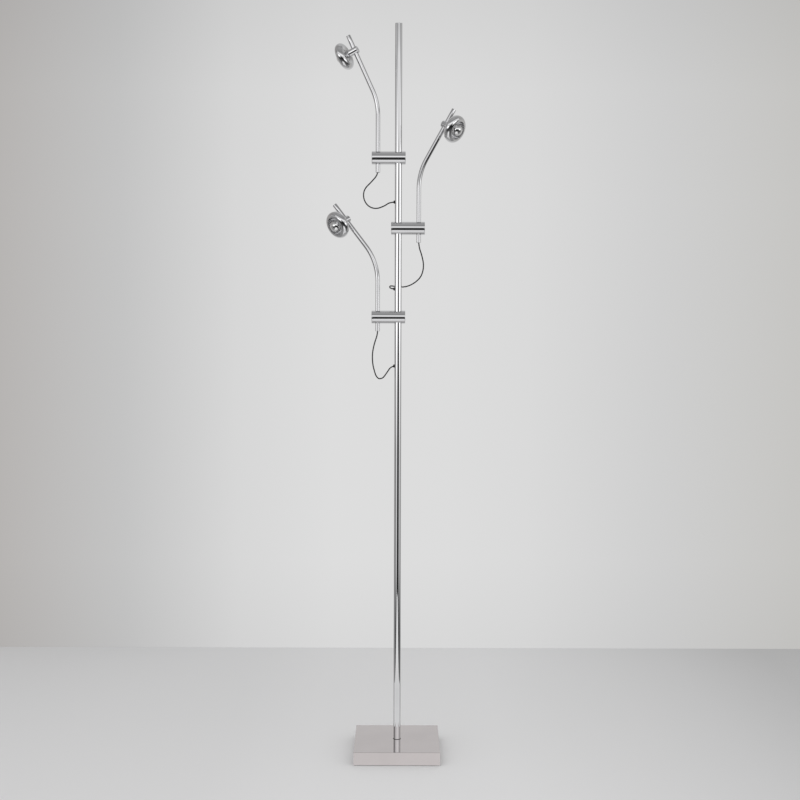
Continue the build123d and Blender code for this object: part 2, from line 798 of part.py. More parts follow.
for lamp in lamps:
    with BuildPart() as arm:
        add(arm_sweep(lamp, 0, arm_length, arm_radius))
        chamfer(arm.faces().filter_by(GeomType.PLANE).edges(), length=arm_edge)
        add(
            arm_sweep(lamp, 0, arm_length - arm_tip_wall, arm_bore_radius),
            mode=Mode.SUBTRACT,
        )
        with BuildSketch(Plane.XY.offset(lamp.height - arm_groove_width / 2)):
            with Locations((lamp.arm_x, 0)):
                Circle(arm_radius + seat_gap)
                Circle(arm_radius - arm_groove, mode=Mode.SUBTRACT)
        extrude(amount=arm_groove_width, mode=Mode.SUBTRACT)
        slot_start = lamp.joint - lamp.along * arm_slot_length / 2
        with BuildSketch(Plane(origin=slot_start, x_dir=lamp.facing, z_dir=lamp.along)):
            with Locations((arm_radius, 0)):
                Rectangle(2 * arm_radius, 4 * arm_radius)
        extrude(amount=arm_slot_length, mode=Mode.SUBTRACT)
    keep(arm.part, f"arm_{lamp.name}")

    with BuildPart() as cord_bush:
        with BuildSketch(Plane.XY.offset(lamp.arm_foot + cord_bush_recess)):
            with Locations((lamp.arm_x, 0)):
                Circle(arm_bore_radius - seat_gap)
                Circle(cord_bore_radius, mode=Mode.SUBTRACT)
        extrude(amount=cord_bush_length - cord_bush_recess)
    keep(cord_bush.part, f"cord_bush_{lamp.name}")

    joint_from_foot = arm_length - (lamp.tip - lamp.joint).length
    keep(
        arm_sweep(lamp, cord_bush_length, joint_from_foot, cord_radius),
        f"arm_lead_{lamp.name}",
    )


# Heads ------------------------------------------------------------------------------------------

ring_centre = (ring_radius, ring_middle)
lip = (ring_radius - lip_width, ring_front)

# The dish is part of a ball: its centre is on the head's axis, its surface passes through the lip
# and the edge of the flat floor.
dish_centre_y = (lip[0] ** 2 + lip[1] ** 2 - dish_floor_radius**2 - floor_front**2) / (
    2 * (lip[1] - floor_front)
)
dish_centre = (0, dish_centre_y)
dish_radius = hypot(lip[0], lip[1] - dish_centre_y)
dish_back_radius = dish_radius + sheet
inner_section_radius = ring_section_radius - sheet
floor_back_edge = (sqrt(dish_back_radius**2 - (block_front - dish_centre_y) ** 2), block_front)

# Inside the ring the dish's back meets the inner side of the rounded sheet under the lip. Behind it
# the sheet curls in and stops just short of the dish.
under_lip = max(
    circles_meet(ring_centre, inner_section_radius, dish_centre, dish_back_radius),
    key=lambda point: point[1],
)
curl_inner = min(
    circles_meet(ring_centre, inner_section_radius, dish_centre, dish_back_radius + curl_gap),
    key=lambda point: point[1],
)
curl_angle = atan2(curl_inner[1] - ring_middle, curl_inner[0] - ring_radius)
curl_outer = (
    ring_radius + ring_section_radius * cos(curl_angle),
    ring_middle + ring_section_radius * sin(curl_angle),
)

for lamp in lamps:
    with BuildPart() as head_block:
        with BuildSketch(lamp.head_plane(-block_back)):
            Circle(block_radius)
        extrude(amount=block_length)
        ends = head_block.faces().filter_by(GeomType.PLANE).edges()
        chamfer(ends, length=block_edge)
        with BuildSketch(Plane(origin=lamp.joint - lamp.along * block_radius, z_dir=lamp.along)):
            Circle(arm_radius + running_gap)
        extrude(amount=2 * block_radius, mode=Mode.SUBTRACT)
        with BuildSketch(lamp.head_plane(holder_back)):
            Circle(holder_radius + seat_gap)
        extrude(amount=block_front - holder_back, mode=Mode.SUBTRACT)
        with BuildSketch(lamp.head_plane(0)):
            Circle(block_wire_radius)
        extrude(amount=holder_back, mode=Mode.SUBTRACT)
        with BuildSketch(lamp.head_plane(-block_back)):
            Circle(head_screw_radius + seat_gap)
        extrude(amount=block_back, mode=Mode.SUBTRACT)
    keep(head_block.part, f"head_block_{lamp.name}")

    with BuildPart() as head_screw:
        with BuildSketch(lamp.head_plane(-arm_radius - running_gap - seat_gap)):
            Circle(head_screw_radius)
        extrude(amount=-head_screw_length)
        with BuildSketch(lamp.head_plane(-arm_radius - running_gap - seat_gap - head_screw_length)):
            RegularPolygon(head_screw_hex_radius, 6)
        extrude(amount=head_screw_hex_depth, mode=Mode.SUBTRACT)
    keep(head_screw.part, f"head_screw_{lamp.name}")

    with BuildPart() as reflector:
        with BuildSketch(lamp.head_profile_plane()):
            with BuildLine():
                Line((holder_radius + seat_gap, block_front), floor_back_edge)
                ThreePointArc(
                    floor_back_edge,
                    between(dish_centre, dish_back_radius, floor_back_edge, under_lip),
                    under_lip,
                )
                ThreePointArc(
                    under_lip, (ring_radius + inner_section_radius, ring_middle), curl_inner
                )
                Line(curl_inner, curl_outer)
                ThreePointArc(
                    curl_outer,
                    (ring_radius + ring_section_radius, ring_middle),
                    (ring_radius, ring_front),
                )
                Line((ring_radius, ring_front), lip)
                ThreePointArc(
                    lip,
                    between(dish_centre, dish_radius, lip, (dish_floor_radius, floor_front)),
                    (dish_floor_radius, floor_front),
                )
                Polyline(
                    (dish_floor_radius, floor_front),
                    (holder_radius + seat_gap, floor_front),
                    (holder_radius + seat_gap, block_front),
                )
            make_face()
        revolve(axis=lamp.head_axis())
    keep(reflector.part, f"reflector_{lamp.name}")

    with BuildPart() as lampholder:
        with BuildSketch(lamp.head_profile_plane()):
            with BuildLine():
                Polyline(
                    (0, holder_back + seat_gap),
                    (holder_radius, holder_back + seat_gap),
                    (holder_radius, floor_front),
                    (holder_flange_radius, floor_front),
                    (holder_flange_radius, floor_front + holder_flange),
                    (bulb_cap_radius + seat_gap, floor_front + holder_flange),
                    (bulb_cap_radius + seat_gap, holder_back + holder_wall),
                    (0, holder_back + holder_wall),
                    close=True,
                )
            make_face()
        revolve(axis=lamp.head_axis())
    keep(lampholder.part, f"lampholder_{lamp.name}")

    with BuildPart() as bulb:
        with BuildSketch(lamp.head_profile_plane()):
            with BuildLine():
                Polyline(
                    (0, bulb_middle + bulb_radius),
                    (0, bulb_cap_start),
                    (bulb_cap_radius, bulb_cap_start),
                    (bulb_cap_radius, bulb_neck_end),
                )
                TangentArc(
                    (bulb_radius, bulb_middle),
                    (bulb_cap_radius, bulb_neck_end),
                    tangent=(0, -1),
                )
                TangentArc((bulb_radius, bulb_middle), (0, bulb_middle + bulb_radius), tangent=(0, 1))
            make_face()
        revolve(axis=lamp.head_axis())
    keep(bulb.part, f"bulb_{lamp.name}")
    print(
        lamp.name,
        "tip", [round(v, 2) for v in lamp.tip],
        "joint", [round(v, 2) for v in lamp.joint],
        "facing", [round(v, 4) for v in lamp.facing],
        "along", [round(v, 4) for v in lamp.along],
    )
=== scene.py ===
# %% [markdown]
# A tree floor lamp in chrome: a heavy square base, a slim pole and three clamps, each with a bent
# arm and a ring-shaped head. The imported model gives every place, and this lesson dresses it:
# polished pieces are turned or swept again on fine meshes, because chrome shows every flat spot,
# and pieces that stay out of sight keep their solid and get a finish.

# %% Load the frame
from math import acos, atan2, cos, hypot, pi, radians, sin, sqrt

import bmesh
import bpy
from mathutils import Matrix, Vector


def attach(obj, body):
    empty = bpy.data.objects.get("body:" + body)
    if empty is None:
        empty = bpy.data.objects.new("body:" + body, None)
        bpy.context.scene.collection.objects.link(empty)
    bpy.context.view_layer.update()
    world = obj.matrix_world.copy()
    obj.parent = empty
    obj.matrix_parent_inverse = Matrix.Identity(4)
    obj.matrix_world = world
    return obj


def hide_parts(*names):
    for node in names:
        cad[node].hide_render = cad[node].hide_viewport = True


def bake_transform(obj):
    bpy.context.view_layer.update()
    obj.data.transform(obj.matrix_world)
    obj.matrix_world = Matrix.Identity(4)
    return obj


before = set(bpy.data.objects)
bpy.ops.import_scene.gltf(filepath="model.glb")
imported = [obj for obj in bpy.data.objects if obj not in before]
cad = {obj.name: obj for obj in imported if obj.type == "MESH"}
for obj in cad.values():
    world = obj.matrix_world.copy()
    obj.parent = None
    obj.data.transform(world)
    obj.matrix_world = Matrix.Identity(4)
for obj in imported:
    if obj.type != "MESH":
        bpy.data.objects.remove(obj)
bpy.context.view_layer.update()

# %% [markdown]
# The camera stands 3.6 m in front of the lamp at chest height and looks down a little. Its place
# and lens come from solving the photograph: the pole's top and foot, the base's corners and the
# clamps give enough points. A small roll sets the pole as upright as the photograph has it.

# %% Camera
camera_place = Vector((0.0062, -3.6086, 1.2449))
camera_pitch = radians(3.75)
camera_roll = radians(0.16)
lens_length, sensor_width = 57.87, 36.0

camera_data = bpy.data.cameras.new("view")
camera_data.lens, camera_data.sensor_width = lens_length, sensor_width
camera_data.clip_start, camera_data.clip_end = 0.05, 60.0
camera = bpy.data.objects.new("view", camera_data)
bpy.context.scene.collection.objects.link(camera)
forward = Vector((0, cos(camera_pitch), -sin(camera_pitch)))
level = Vector((1, 0, 0))
upright = level.cross(forward)
right = level * cos(camera_roll) + upright * sin(camera_roll)
upright = upright * cos(camera_roll) - level * sin(camera_roll)
turned_camera = Matrix((right, upright, -forward)).transposed().to_4x4()
camera.matrix_world = Matrix.Translation(camera_place) @ turned_camera
bpy.context.scene.camera = camera
bpy.context.scene.view_settings.view_transform = "Standard"
print("camera", [round(v, 3) for v in camera_place], "lens", camera_data.lens)

# %% [markdown]
# A procedural finish is a small tree of nodes. A few helpers keep the trees short: `finish` makes
# a material with its shader, `add` makes a node with its settings, and `noise` reads a pattern
# from the piece's own coordinates, so that it stays with the piece when the piece moves. The
# others turn a pattern's value into a shade, a range or relief, or join two values, two colours
# or two surfaces.

# %% Material helpers
def finish(name, colour, roughness, metallic=0.0, specular=0.5):
    """A material with one shader, and the shader's sockets set."""
    material = bpy.data.materials.new(name)
    material.use_nodes = True
    shader = material.node_tree.nodes["Principled BSDF"]
    shader.inputs["Base Color"].default_value = (*colour, 1)
    shader.inputs["Roughness"].default_value = roughness
    shader.inputs["Metallic"].default_value = metallic
    shader.inputs["Specular IOR Level"].default_value = specular
    return material, material.node_tree, shader


def add(tree, kind, inputs=(), **settings):
    """A node with its settings, and its inputs set or linked."""
    node = tree.nodes.new(kind)
    for key, value in settings.items():
        setattr(node, key, value)
    for socket, value in dict(inputs).items():
        if isinstance(value, bpy.types.NodeSocket):
            tree.links.new(value, node.inputs[socket])
        else:
            node.inputs[socket].default_value = value
    return node


def ramp(tree, factor, stops):
    """A colour ramp of (place, grey or colour) stops, in order of place."""
    node = add(tree, "ShaderNodeValToRGB", {"Fac": factor})
    elements = node.color_ramp.elements
    elements.remove(elements[1])
    for number, (stop, shade) in enumerate(stops):
        element = elements.new(stop) if number else elements[0]
        element.position = stop
        element.color = (*shade, 1) if isinstance(shade, tuple) else (shade, shade, shade, 1)
    return node.outputs["Color"]


def noise(tree, scale, detail=3.0, stretch=(1, 1, 1), roughness=0.5):
    """Noise on the piece's own coordinates, stretched along its axes."""
    position = add(tree, "ShaderNodeTexCoord").outputs["Object"]
    settings = {"Vector": position, "Scale": stretch}
    mapped = add(tree, "ShaderNodeMapping", settings).outputs["Vector"]
    inputs = {"Vector": mapped, "Scale": scale, "Detail": detail, "Roughness": roughness}
    return add(tree, "ShaderNodeTexNoise", inputs).outputs["Fac"]


def spread(tree, value, low, high, start=0.3, end=0.7):
    """A pattern's value spread between two levels."""
    inputs = {"Value": value, "From Min": start, "From Max": end, "To Min": low, "To Max": high}
    return add(tree, "ShaderNodeMapRange", inputs).outputs["Result"]


def bump(tree, shader, height, distance, strength=1.0):
    """Relief from a height pattern, in metres."""
    inputs = {"Height": height, "Distance": distance, "Strength": strength}
    tree.links.new(add(tree, "ShaderNodeBump", inputs).outputs["Normal"], shader.inputs["Normal"])


def calculated(tree, operation, first, second):
    """One sum on two values."""
    return add(tree, "ShaderNodeMath", {0: first, 1: second}, operation=operation).outputs[0]


def mixed(tree, first, second, factor=1.0, how="MIX"):
    """Two colours mixed, or multiplied, by a factor."""
    inputs = {0: factor, 6: first, 7: second}
    return add(tree, "ShaderNodeMix", inputs, data_type="RGBA", blend_type=how).outputs[2]


def either(tree, factor, first, second):
    """The first surface where the factor is 0, and the second where it is 1."""
    return add(tree, "ShaderNodeMixShader", {0: factor, 1: first, 2: second}).outputs[0]


def axes(tree, kind):
    """The X, Y and Z of one kind of coordinates."""
    position = add(tree, "ShaderNodeTexCoord").outputs[kind]
    return add(tree, "ShaderNodeSeparateXYZ", {"Vector": position}).outputs


print("material helpers ready")

# %% [markdown]
# Chrome plate is a mirror with a life: polishing leaves a faint haze, and hands leave smudges.
# Two noises drive its roughness and a third its tint. It has no relief, because a mirror shows
# even a thousandth of a millimetre as a dent.

# %% Chrome finishes
smudges_per_metre, polish_per_metre, tints_per_metre = 26.0, 140.0, 9.0


def chrome(name, colour, roughness, haze=0.03, tint=0.95):
    """Bright plate with a faint haze, smudges and a slow change of tint."""
    material, tree, shader = finish(name, colour, roughness, metallic=1.0)
    smudges = spread(tree, noise(tree, smudges_per_metre, 5.0), 0.0, haze, 0.48, 0.72)
    polish = spread(tree, noise(tree, polish_per_metre, 2.0), roughness, roughness * 1.15)
    tree.links.new(calculated(tree, "ADD", smudges, polish), shader.inputs["Roughness"])
    darker = tuple(tint * value for value in colour)
    clouds = noise(tree, tints_per_metre, 4.0)
    shade = ramp(tree, clouds, [(0.35, darker), (0.65, colour)])
    tree.links.new(shade, shader.inputs["Base Color"])
    return material


base_chrome = chrome("base_plate", (0.6, 0.56, 0.558), 0.05)
pole_chrome = chrome("pole_plate", (0.68, 0.68, 0.69), 0.03, 0.015)
clamp_chrome = chrome("clamp_plate", (0.67, 0.67, 0.68), 0.035, 0.015)
arm_chrome = chrome("arm_plate", (0.62, 0.62, 0.63), 0.06, 0.02)
head_chrome = chrome("head_plate", (0.68, 0.68, 0.69), 0.05, 0.03)
plates = (base_chrome, pole_chrome, clamp_chrome, arm_chrome, head_chrome)
print("chrome finishes", [material.name for material in plates])

# %% [markdown]
# The other finishes: the parts that carry, seal and insulate. Cast iron is rough from its sand
# mould, zinc has a cloudy bluish and yellowish film, turned nylon shows fine rings, and rubber
# and the cord's sheath are dull with a faint bloom.

# %% Plain finishes
def cloudy(name, colours, roughness, scale, relief, grain=(1, 1, 1), metallic=0.0, specular=0.5):
    """A finish of two mixed shades, with roughness and relief from the same grain."""
    material, tree, shader = finish(name, colours[0], roughness[0], metallic, specular)
    clouds = noise(tree, scale / 8, 4.0, grain)
    fine = noise(tree, scale, 6.0, grain, 0.65)
    shade = ramp(tree, clouds, [(0.35, colours[0]), (0.65, colours[1])])
    tree.links.new(shade, shader.inputs["Base Color"])
    tree.links.new(spread(tree, fine, *roughness), shader.inputs["Roughness"])
    bump(tree, shader, fine, relief)
    return material


cast_iron = cloudy(
    "sand_cast_iron", [(0.07, 0.068, 0.066), (0.13, 0.125, 0.12)], (0.55, 0.8), 900, 0.0003
)
zinc_steel = cloudy(
    "zinc_film", [(0.52, 0.53, 0.55), (0.6, 0.59, 0.52)], (0.28, 0.42), 500, 0.00001, metallic=1.0
)
dark_steel = cloudy(
    "blackened_steel", [(0.09, 0.09, 0.095), (0.15, 0.145, 0.14)], (0.3, 0.45), 1500, 0.00001,
    metallic=1.0,
)
black_plastic = cloudy(
    "moulded_black", [(0.018, 0.018, 0.019), (0.026, 0.026, 0.027)], (0.38, 0.5), 2600, 0.00003
)
white_plastic = cloudy(
    "moulded_white", [(0.74, 0.73, 0.69), (0.8, 0.79, 0.76)], (0.35, 0.45), 2200, 0.00002
)
nylon = cloudy(
    "turned_nylon", [(0.7, 0.68, 0.63), (0.78, 0.77, 0.73)], (0.35, 0.5), 1800, 0.00002, (1, 1, 8)
)
black_rubber = cloudy(
    "soft_rubber", [(0.012, 0.012, 0.012), (0.022, 0.021, 0.02)], (0.6, 0.78), 3000, 0.00004,
    specular=0.3,
)
cord_black = cloudy(
    "cord_sheath", [(0.009, 0.009, 0.009), (0.016, 0.016, 0.017)], (0.42, 0.56), 2400, 0.00003
)

pressed_felt, felt_tree, felt_shader = finish("pressed_felt", (0.02, 0.02, 0.021), 0.95)
fibres = noise(felt_tree, 1700.0, 8.0, (1, 1, 3), 0.8)
felt_shade = ramp(felt_tree, fibres, [(0.3, 0.012), (0.7, 0.05)])
felt_tree.links.new(felt_shade, felt_shader.inputs["Base Color"])
felt_shader.inputs["Sheen Weight"].default_value = 0.5
bump(felt_tree, felt_shader, fibres, 0.0008)

mirror_glass, glass_tree, glass_shader = finish("mirrored_crown", (0.76, 0.76, 0.77), 0.02, 1.0)
cap_metal = cloudy(
    "nickel_cap", [(0.55, 0.53, 0.48), (0.62, 0.6, 0.56)], (0.18, 0.3), 1200, 0.00001, metallic=1.0
)
plain_finishes = (
    cast_iron, zinc_steel, dark_steel, black_plastic, white_plastic, nylon, black_rubber,
    cord_black, pressed_felt, mirror_glass, cap_metal,
)
print("plain finishes", [material.name for material in plain_finishes])

# %% [markdown]
# Every hidden solid keeps its mesh and gets the finish of its slot. The visible ones are dressed
# further down, and each of those pieces then stands for its solid.

# %% Finish the solids
solid_finishes = {
    "base_cover": base_chrome, "base_ballast": cast_iron, "bottom_plate": zinc_steel,
    "base_felt": pressed_felt, "base_screws": zinc_steel, "pole_foot_ring": black_plastic,
    "pole_tube": pole_chrome, "pole_top_plug": pole_chrome, "pole_spigot": zinc_steel,
    "pole_nipple": zinc_steel, "pole_nut": zinc_steel, "transformer": black_plastic,
    "terminal_block": white_plastic, "inlet_grommet": black_rubber, "pole_loom": cord_black,
    "grommet": black_rubber, "flex": cord_black, "clamp_bush": nylon, "clamp_shell": clamp_chrome,
    "clamp_caps": clamp_chrome, "clamp_core": nylon, "clamp_screws": dark_steel, "arm": arm_chrome,
    "cord_bush": black_rubber, "arm_lead": cord_black, "head_block": head_chrome,
    "head_screw": dark_steel, "reflector": head_chrome, "lampholder": white_plastic,
    "bulb": mirror_glass,
}
lamp_names = ("upper", "middle", "lower")
for name, node in cad.items():
    kind = name
    for lamp_name in lamp_names:
        kind = kind.removesuffix("_" + lamp_name)
    node.data.materials.clear()
    node.data.materials.append(solid_finishes[kind])
print("solids finished", len(cad))

# %% [markdown]
# Turning is how most of this lamp is made, so one helper does it: a profile of radius and height
# points goes once round its axis. `eased` first takes the sharpness off each corner, as a
# polishing mop does, which gives every edge the thin highlight of real plate. `held` adds a point
# near each end of a long run, so that the rounded corner's shading doesn't leak along it. Sizes
# are in millimetres, as a maker would say them, and `mm` turns them into the metres of the scene.

# %% Turning
mm = 0.001
sides = 96
sharp_angle, straight_enough = radians(40), radians(20)
long_run, held_back = 2.0, 0.2
nearly_nothing = 1e-6


def eased(profile, ease=0.3, steps=4):
    """The profile with each corner rounded a little."""
    points = [Vector(point) for point in profile]
    result = [points[0]]
    for before, corner, after in zip(points, points[1:], points[2:]):
        come, go = corner - before, after - corner
        short = min(come.length, go.length) < nearly_nothing
        if short or come.angle(go) < straight_enough:
            result.append(corner)
            continue
        trim = min(ease, 0.4 * come.length, 0.4 * go.length)
        start, end = corner - come.normalized() * trim, corner + go.normalized() * trim
        for step in range(steps + 1):
            t = step / steps
            result.append(start * (1 - t) ** 2 + corner * 2 * t * (1 - t) + end * t**2)
    result.append(points[-1])
    return [tuple(point) for point in result]


def place(origin, axis, x_axis=None):
    """The matrix that sets a piece's own Z along an axis at a point, both in the scene."""
    z = Vector(axis).normalized()
    if x_axis is None:
        x_axis = Vector((0, 0, 1)) if abs(z.z) < 0.9 else Vector((1, 0, 0))
    y = z.cross(Vector(x_axis)).normalized()
    x = y.cross(z)
    return Matrix.Translation(Vector(origin)) @ Matrix((x, y, z)).transposed().to_4x4()


def piece(name, bm, material, nodes=(), body="stand", slot=None):
    """Close a mesh, shade it smooth between its sharp edges, and set it on its body."""
    bmesh.ops.remove_doubles(bm, verts=bm.verts, dist=1e-7)
    bmesh.ops.recalc_face_normals(bm, faces=bm.faces)
    mesh = bpy.data.meshes.new(name)
    bm.to_mesh(mesh)
    bm.free()
    mesh.polygons.foreach_set("use_smooth", [True] * len(mesh.polygons))
    mesh.set_sharp_from_angle(angle=sharp_angle)
    mesh.materials.append(material)
    made = bpy.data.objects.new(name, mesh)
    bpy.context.scene.collection.objects.link(made)
    if slot:
        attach(made, body)
        if nodes:
            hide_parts(*nodes)
    return made


def held(profile):
    """The profile with a point near each end of its long runs, which keeps shading straight."""
    points = [Vector(point) for point in profile]
    result = [points[0]]
    for before, after in zip(points, points[1:]):
        run = after - before
        if run.length > long_run:
            share = run * (held_back / run.length)
            result += [before + share, after - share]
        result.append(after)
    return result


def turned(profile, matrix, around=sides):
    """Spin a profile of (radius, height) points, in millimetres, and set it in place."""
    bm = bmesh.new()
    points = [bm.verts.new((radius * mm, 0, height * mm)) for radius, height in held(profile)]
    runs = [bm.edges.new(pair) for pair in zip(points, points[1:])]
    bmesh.ops.spin(
        bm, geom=points + runs, cent=(0, 0, 0), axis=(0, 0, 1), dvec=(0, 0, 0), angle=2 * pi,
        steps=around, use_merge=True,
    )
    bmesh.ops.remove_doubles(bm, verts=bm.verts, dist=1e-7)
    bmesh.ops.transform(bm, matrix=matrix, verts=bm.verts)
    return bm


def applied(made):
    """Make a piece's modifiers part of its mesh."""
    made_now = made.evaluated_get(bpy.context.evaluated_depsgraph_get())
    mesh = bpy.data.meshes.new_from_object(made_now)
    made.modifiers.clear()
    made.data = mesh


def cut(made, *cutters):
    """Take cutters out of a piece, as a drill or a mill would, and shade it by its large faces."""
    for cutter in cutters:
        tool = piece("cutter", cutter, made.data.materials[0])
        modifier = made.modifiers.new("cut", "BOOLEAN")
        modifier.operation, modifier.solver, modifier.object = "DIFFERENCE", "EXACT", tool
        applied(made)
        bpy.data.objects.remove(tool)
    made.data.polygons.foreach_set("use_smooth", [True] * len(made.data.polygons))
    made.data.set_sharp_from_angle(angle=sharp_angle)
    made.modifiers.new("shading", "WEIGHTED_NORMAL").keep_sharp = True
    applied(made)
    return made


def rod(radius, start, end, matrix, around=64):
    """A plain bar along the placed Z, for a drill or a pin."""
    return turned([(0, start), (radius, start), (radius, end), (0, end)], matrix, around)


def count(*names):
    """How many faces the finished pieces have."""
    return {name: len(bpy.data.objects[name].data.polygons) for name in names}


print("turning helpers ready")

# %% [markdown]
# The base is a plated steel box, 240 mm square and open below, with a hole for the pole's nipple
# and one for the inlet at the back. It could be a cube with a Bevel modifier, but its upright
# corners and its top edge are rounded by different amounts, so the two sets of edges are bevelled
# in turn.

# %% Base cover
base_side, base_bottom, base_top = 240.0, 2.0, 38.0
cover_wall, cover_roof = 2.5, 3.0
corner_rounding, top_rounding = 1.5, 1.2
nipple_hole, inlet_hole, inlet_height = 7.4, 5.0, 15.0


def block(width, length, low, high):
    """A box on the scene's axes, in millimetres."""
    bm = bmesh.new()
    bmesh.ops.create_cube(bm, size=mm)
    bmesh.ops.scale(bm, vec=(width, length, high - low), verts=bm.verts)
    bmesh.ops.translate(bm, vec=(0, 0, (low + high) / 2 * mm), verts=bm.verts)
    return bm


def round_edges(bm, edges, radius, segments=6):
    """Round some edges of a box."""
    bmesh.ops.bevel(
        bm, geom=edges, offset=radius * mm, offset_type="OFFSET", segments=segments, profile=0.5,
        affect="EDGES", material=-1, clamp_overlap=True,
    )


def upright_edges(bm):
    """The edges of a box that stand up."""
    return [e for e in bm.edges if abs(e.verts[0].co.z - e.verts[1].co.z) > mm]


cover = block(base_side, base_side, base_bottom, base_top)
round_edges(cover, upright_edges(cover), corner_rounding)
roof = max(vertex.co.z for vertex in cover.verts) - nearly_nothing
roof_edges = [e for e in cover.edges if all(v.co.z > roof for v in e.verts)]
round_edges(cover, roof_edges, top_rounding)
base_cover = piece(
    "base_cover_plate", cover, base_chrome, ["base_cover"], "stand", "base_chrome"
)
world_axes = Matrix.Identity(4)
inside = base_side - 2 * cover_wall
inlet_axis = place((0, 0.1, inlet_height * mm), (0, 1, 0))
cut(
    base_cover,
    block(inside, inside, base_bottom - 5, base_top - cover_roof),
    rod(nipple_hole, 30, 45, world_axes),
    rod(inlet_hole, 0, 30, inlet_axis),
)
print(count("base_cover_plate"))

# %% [markdown]
# Under the base a felt pad keeps the steel off the floor. From the front it is the dark gap below
# the cover. It is a flat sheet with eased edges and holes for the screws' heads.

# %% Felt pad
pad_side, pad_height, screw_head_hole = 228, 2, 4.4
pad = block(pad_side, pad_side, 0, pad_height)
round_edges(pad, upright_edges(pad), 2.0, 4)
pad_rims = [e for e in pad.edges if abs(e.verts[0].co.z - e.verts[1].co.z) < nearly_nothing]
round_edges(pad, pad_rims, 0.4, 2)
felt_pad = piece("felt_pad", pad, pressed_felt, ["base_felt"], "stand", "felt")
plate_screw = 92
screw_places = [(x, y) for x in (-plate_screw, plate_screw) for y in (-plate_screw, plate_screw)]
transformer_screws, terminal_screws = [(62, -34), (62, 34)], [(-54, -12), (-54, 12)]
screw_places += transformer_screws + terminal_screws
cut(felt_pad, *[
    rod(screw_head_hole, -1, pad_height + 1, Matrix.Translation((x * mm, y * mm, 0)), 32)
    for x, y in screw_places
])
print(count("felt_pad"))

# %% [markdown]
# The pole is one drawn tube, two metres long, closed by a flush plug. At its foot a thin dark
# ring keeps the tube off the plate. All three are turned. The plug's edge and the tube's rim are
# eased, which leaves the hairline joint that a pressed-in plug has.

# %% Pole
pole_radius, pole_bore = 10.0, 8.5
pole_foot, pole_rim, pole_top = 38.8, 2048.5, 2050.0
plug_radius, plug_depth = 8.4, 12
washer_radius, washer_low, washer_middle, washer_high = 11, 38.02, 38.4, 38.78
tube_profile = eased([
    (pole_bore, pole_foot + 1), (pole_bore, pole_foot), (pole_radius, pole_foot),
    (pole_radius, pole_rim), (pole_bore, pole_rim), (pole_bore, pole_foot + 1),
], 0.15)
piece(
    "pole_drawn_tube", turned(tube_profile, world_axes, 128), pole_chrome, ["pole_tube"], "stand",
    "pole_chrome",
)
plug_profile = [
    (0, pole_rim - plug_depth), (plug_radius, pole_rim - plug_depth), (plug_radius, pole_rim),
    (pole_radius - 0.1, pole_rim),
    (pole_radius, pole_rim + 0.1), (pole_radius, pole_top - 0.4), (pole_radius - 0.4, pole_top),
    (0, pole_top),
]
piece(
    "pole_plug", turned(eased(plug_profile, 0.12), world_axes), pole_chrome, ["pole_top_plug"],
    "stand", "pole_chrome",
)
washer_profile = [
    (nipple_hole, washer_middle), (nipple_hole, washer_low), (washer_radius, washer_low),
    (washer_radius, washer_high), (nipple_hole, washer_high), (nipple_hole, washer_middle),
]
piece(
    "pole_foot_washer", turned(eased(washer_profile, 0.2), world_axes), black_plastic,
    ["pole_foot_ring"], "stand", "black_plastic",
)
print(count("pole_drawn_tube", "pole_plug", "pole_foot_washer"))

# %% [markdown]
# Each lamp is the same set of pieces in another place. Its clamp height, its bend and two turns
# say where everything goes, so a small class works out the arm's line, the tip, the joint of the
# head and the way the head faces.

# %% The three lamps
arm_spacing, arm_radius, arm_bore = 57.0, 6.25, 5.0
arm_length, arm_below, bend_radius, bend_centre = 391.0, 40.0, 165.0, 152.0
scene_up = Vector((0, 0, 1))


class Lamp:
    """One clamp with its arm and its head, in millimetres."""

    def __init__(self, name, side, height, bend, arm_turn, head_turn, head_from_tip, grommet):
        self.name, self.side, self.height, self.grommet = name, side, height, grommet
        self.bend = radians(bend)
        self.arm_x = side * arm_spacing
        turn = radians(arm_turn)
        self.outwards = Vector((side * cos(turn), sin(turn), 0))
        arc_length = bend_radius * self.bend
        self.bend_start = bend_centre - arc_length / 2
        self.tip_at = arm_length - arm_below
        self.along = self.outwards * sin(self.bend) + scene_up * cos(self.bend)
        self.tip = self.on_arm(self.tip_at)[0]
        self.joint = self.tip - self.along * head_from_tip
        down = self.outwards * cos(self.bend) - scene_up * sin(self.bend)
        across = self.along.cross(down) * -side
        self.facing = down * cos(radians(head_turn)) + across * sin(radians(head_turn))

    def on_arm(self, distance):
        """The point and the direction of the arm's line, at a distance above the clamp's axis."""
        foot = Vector((self.arm_x, 0, self.height))
        if distance <= self.bend_start:
            return foot + scene_up * distance, scene_up
        angle = min((distance - self.bend_start) / bend_radius, self.bend)
        after = distance - self.bend_start - bend_radius * angle
        way = self.outwards * sin(angle) + scene_up * cos(angle)
        over = self.outwards * (bend_radius * (1 - cos(angle)))
        rise = scene_up * (self.bend_start + bend_radius * sin(angle))
        return foot + over + rise + way * after, way

    def head_place(self):
        """The matrix of the head: its Z runs from the arm to the front of the ring."""
        return place(self.joint * mm, self.facing, self.along)


lamps = [
    Lamp("upper", -1, 1682.0, 24.5, 0, -21.0, 45.0, 1560.5),
    Lamp("middle", 1, 1488.0, 29.0, 0, 35.0, 49.0, 1319.5),
    Lamp("lower", -1, 1241.0, 37.6, 8.0, 45.0, 54.0, 1104.0),
]
for lamp in lamps:
    print(lamp.name, "tip", [round(v, 1) for v in lamp.tip])

# %% [markdown]
# The clamp is a short cross cylinder. The pole passes through it near one end and the arm through
# the other, and two socket screws at the back hold them. The shell is turned and then drilled, as
# the real one is, and a cap with a rolled rim closes each end.

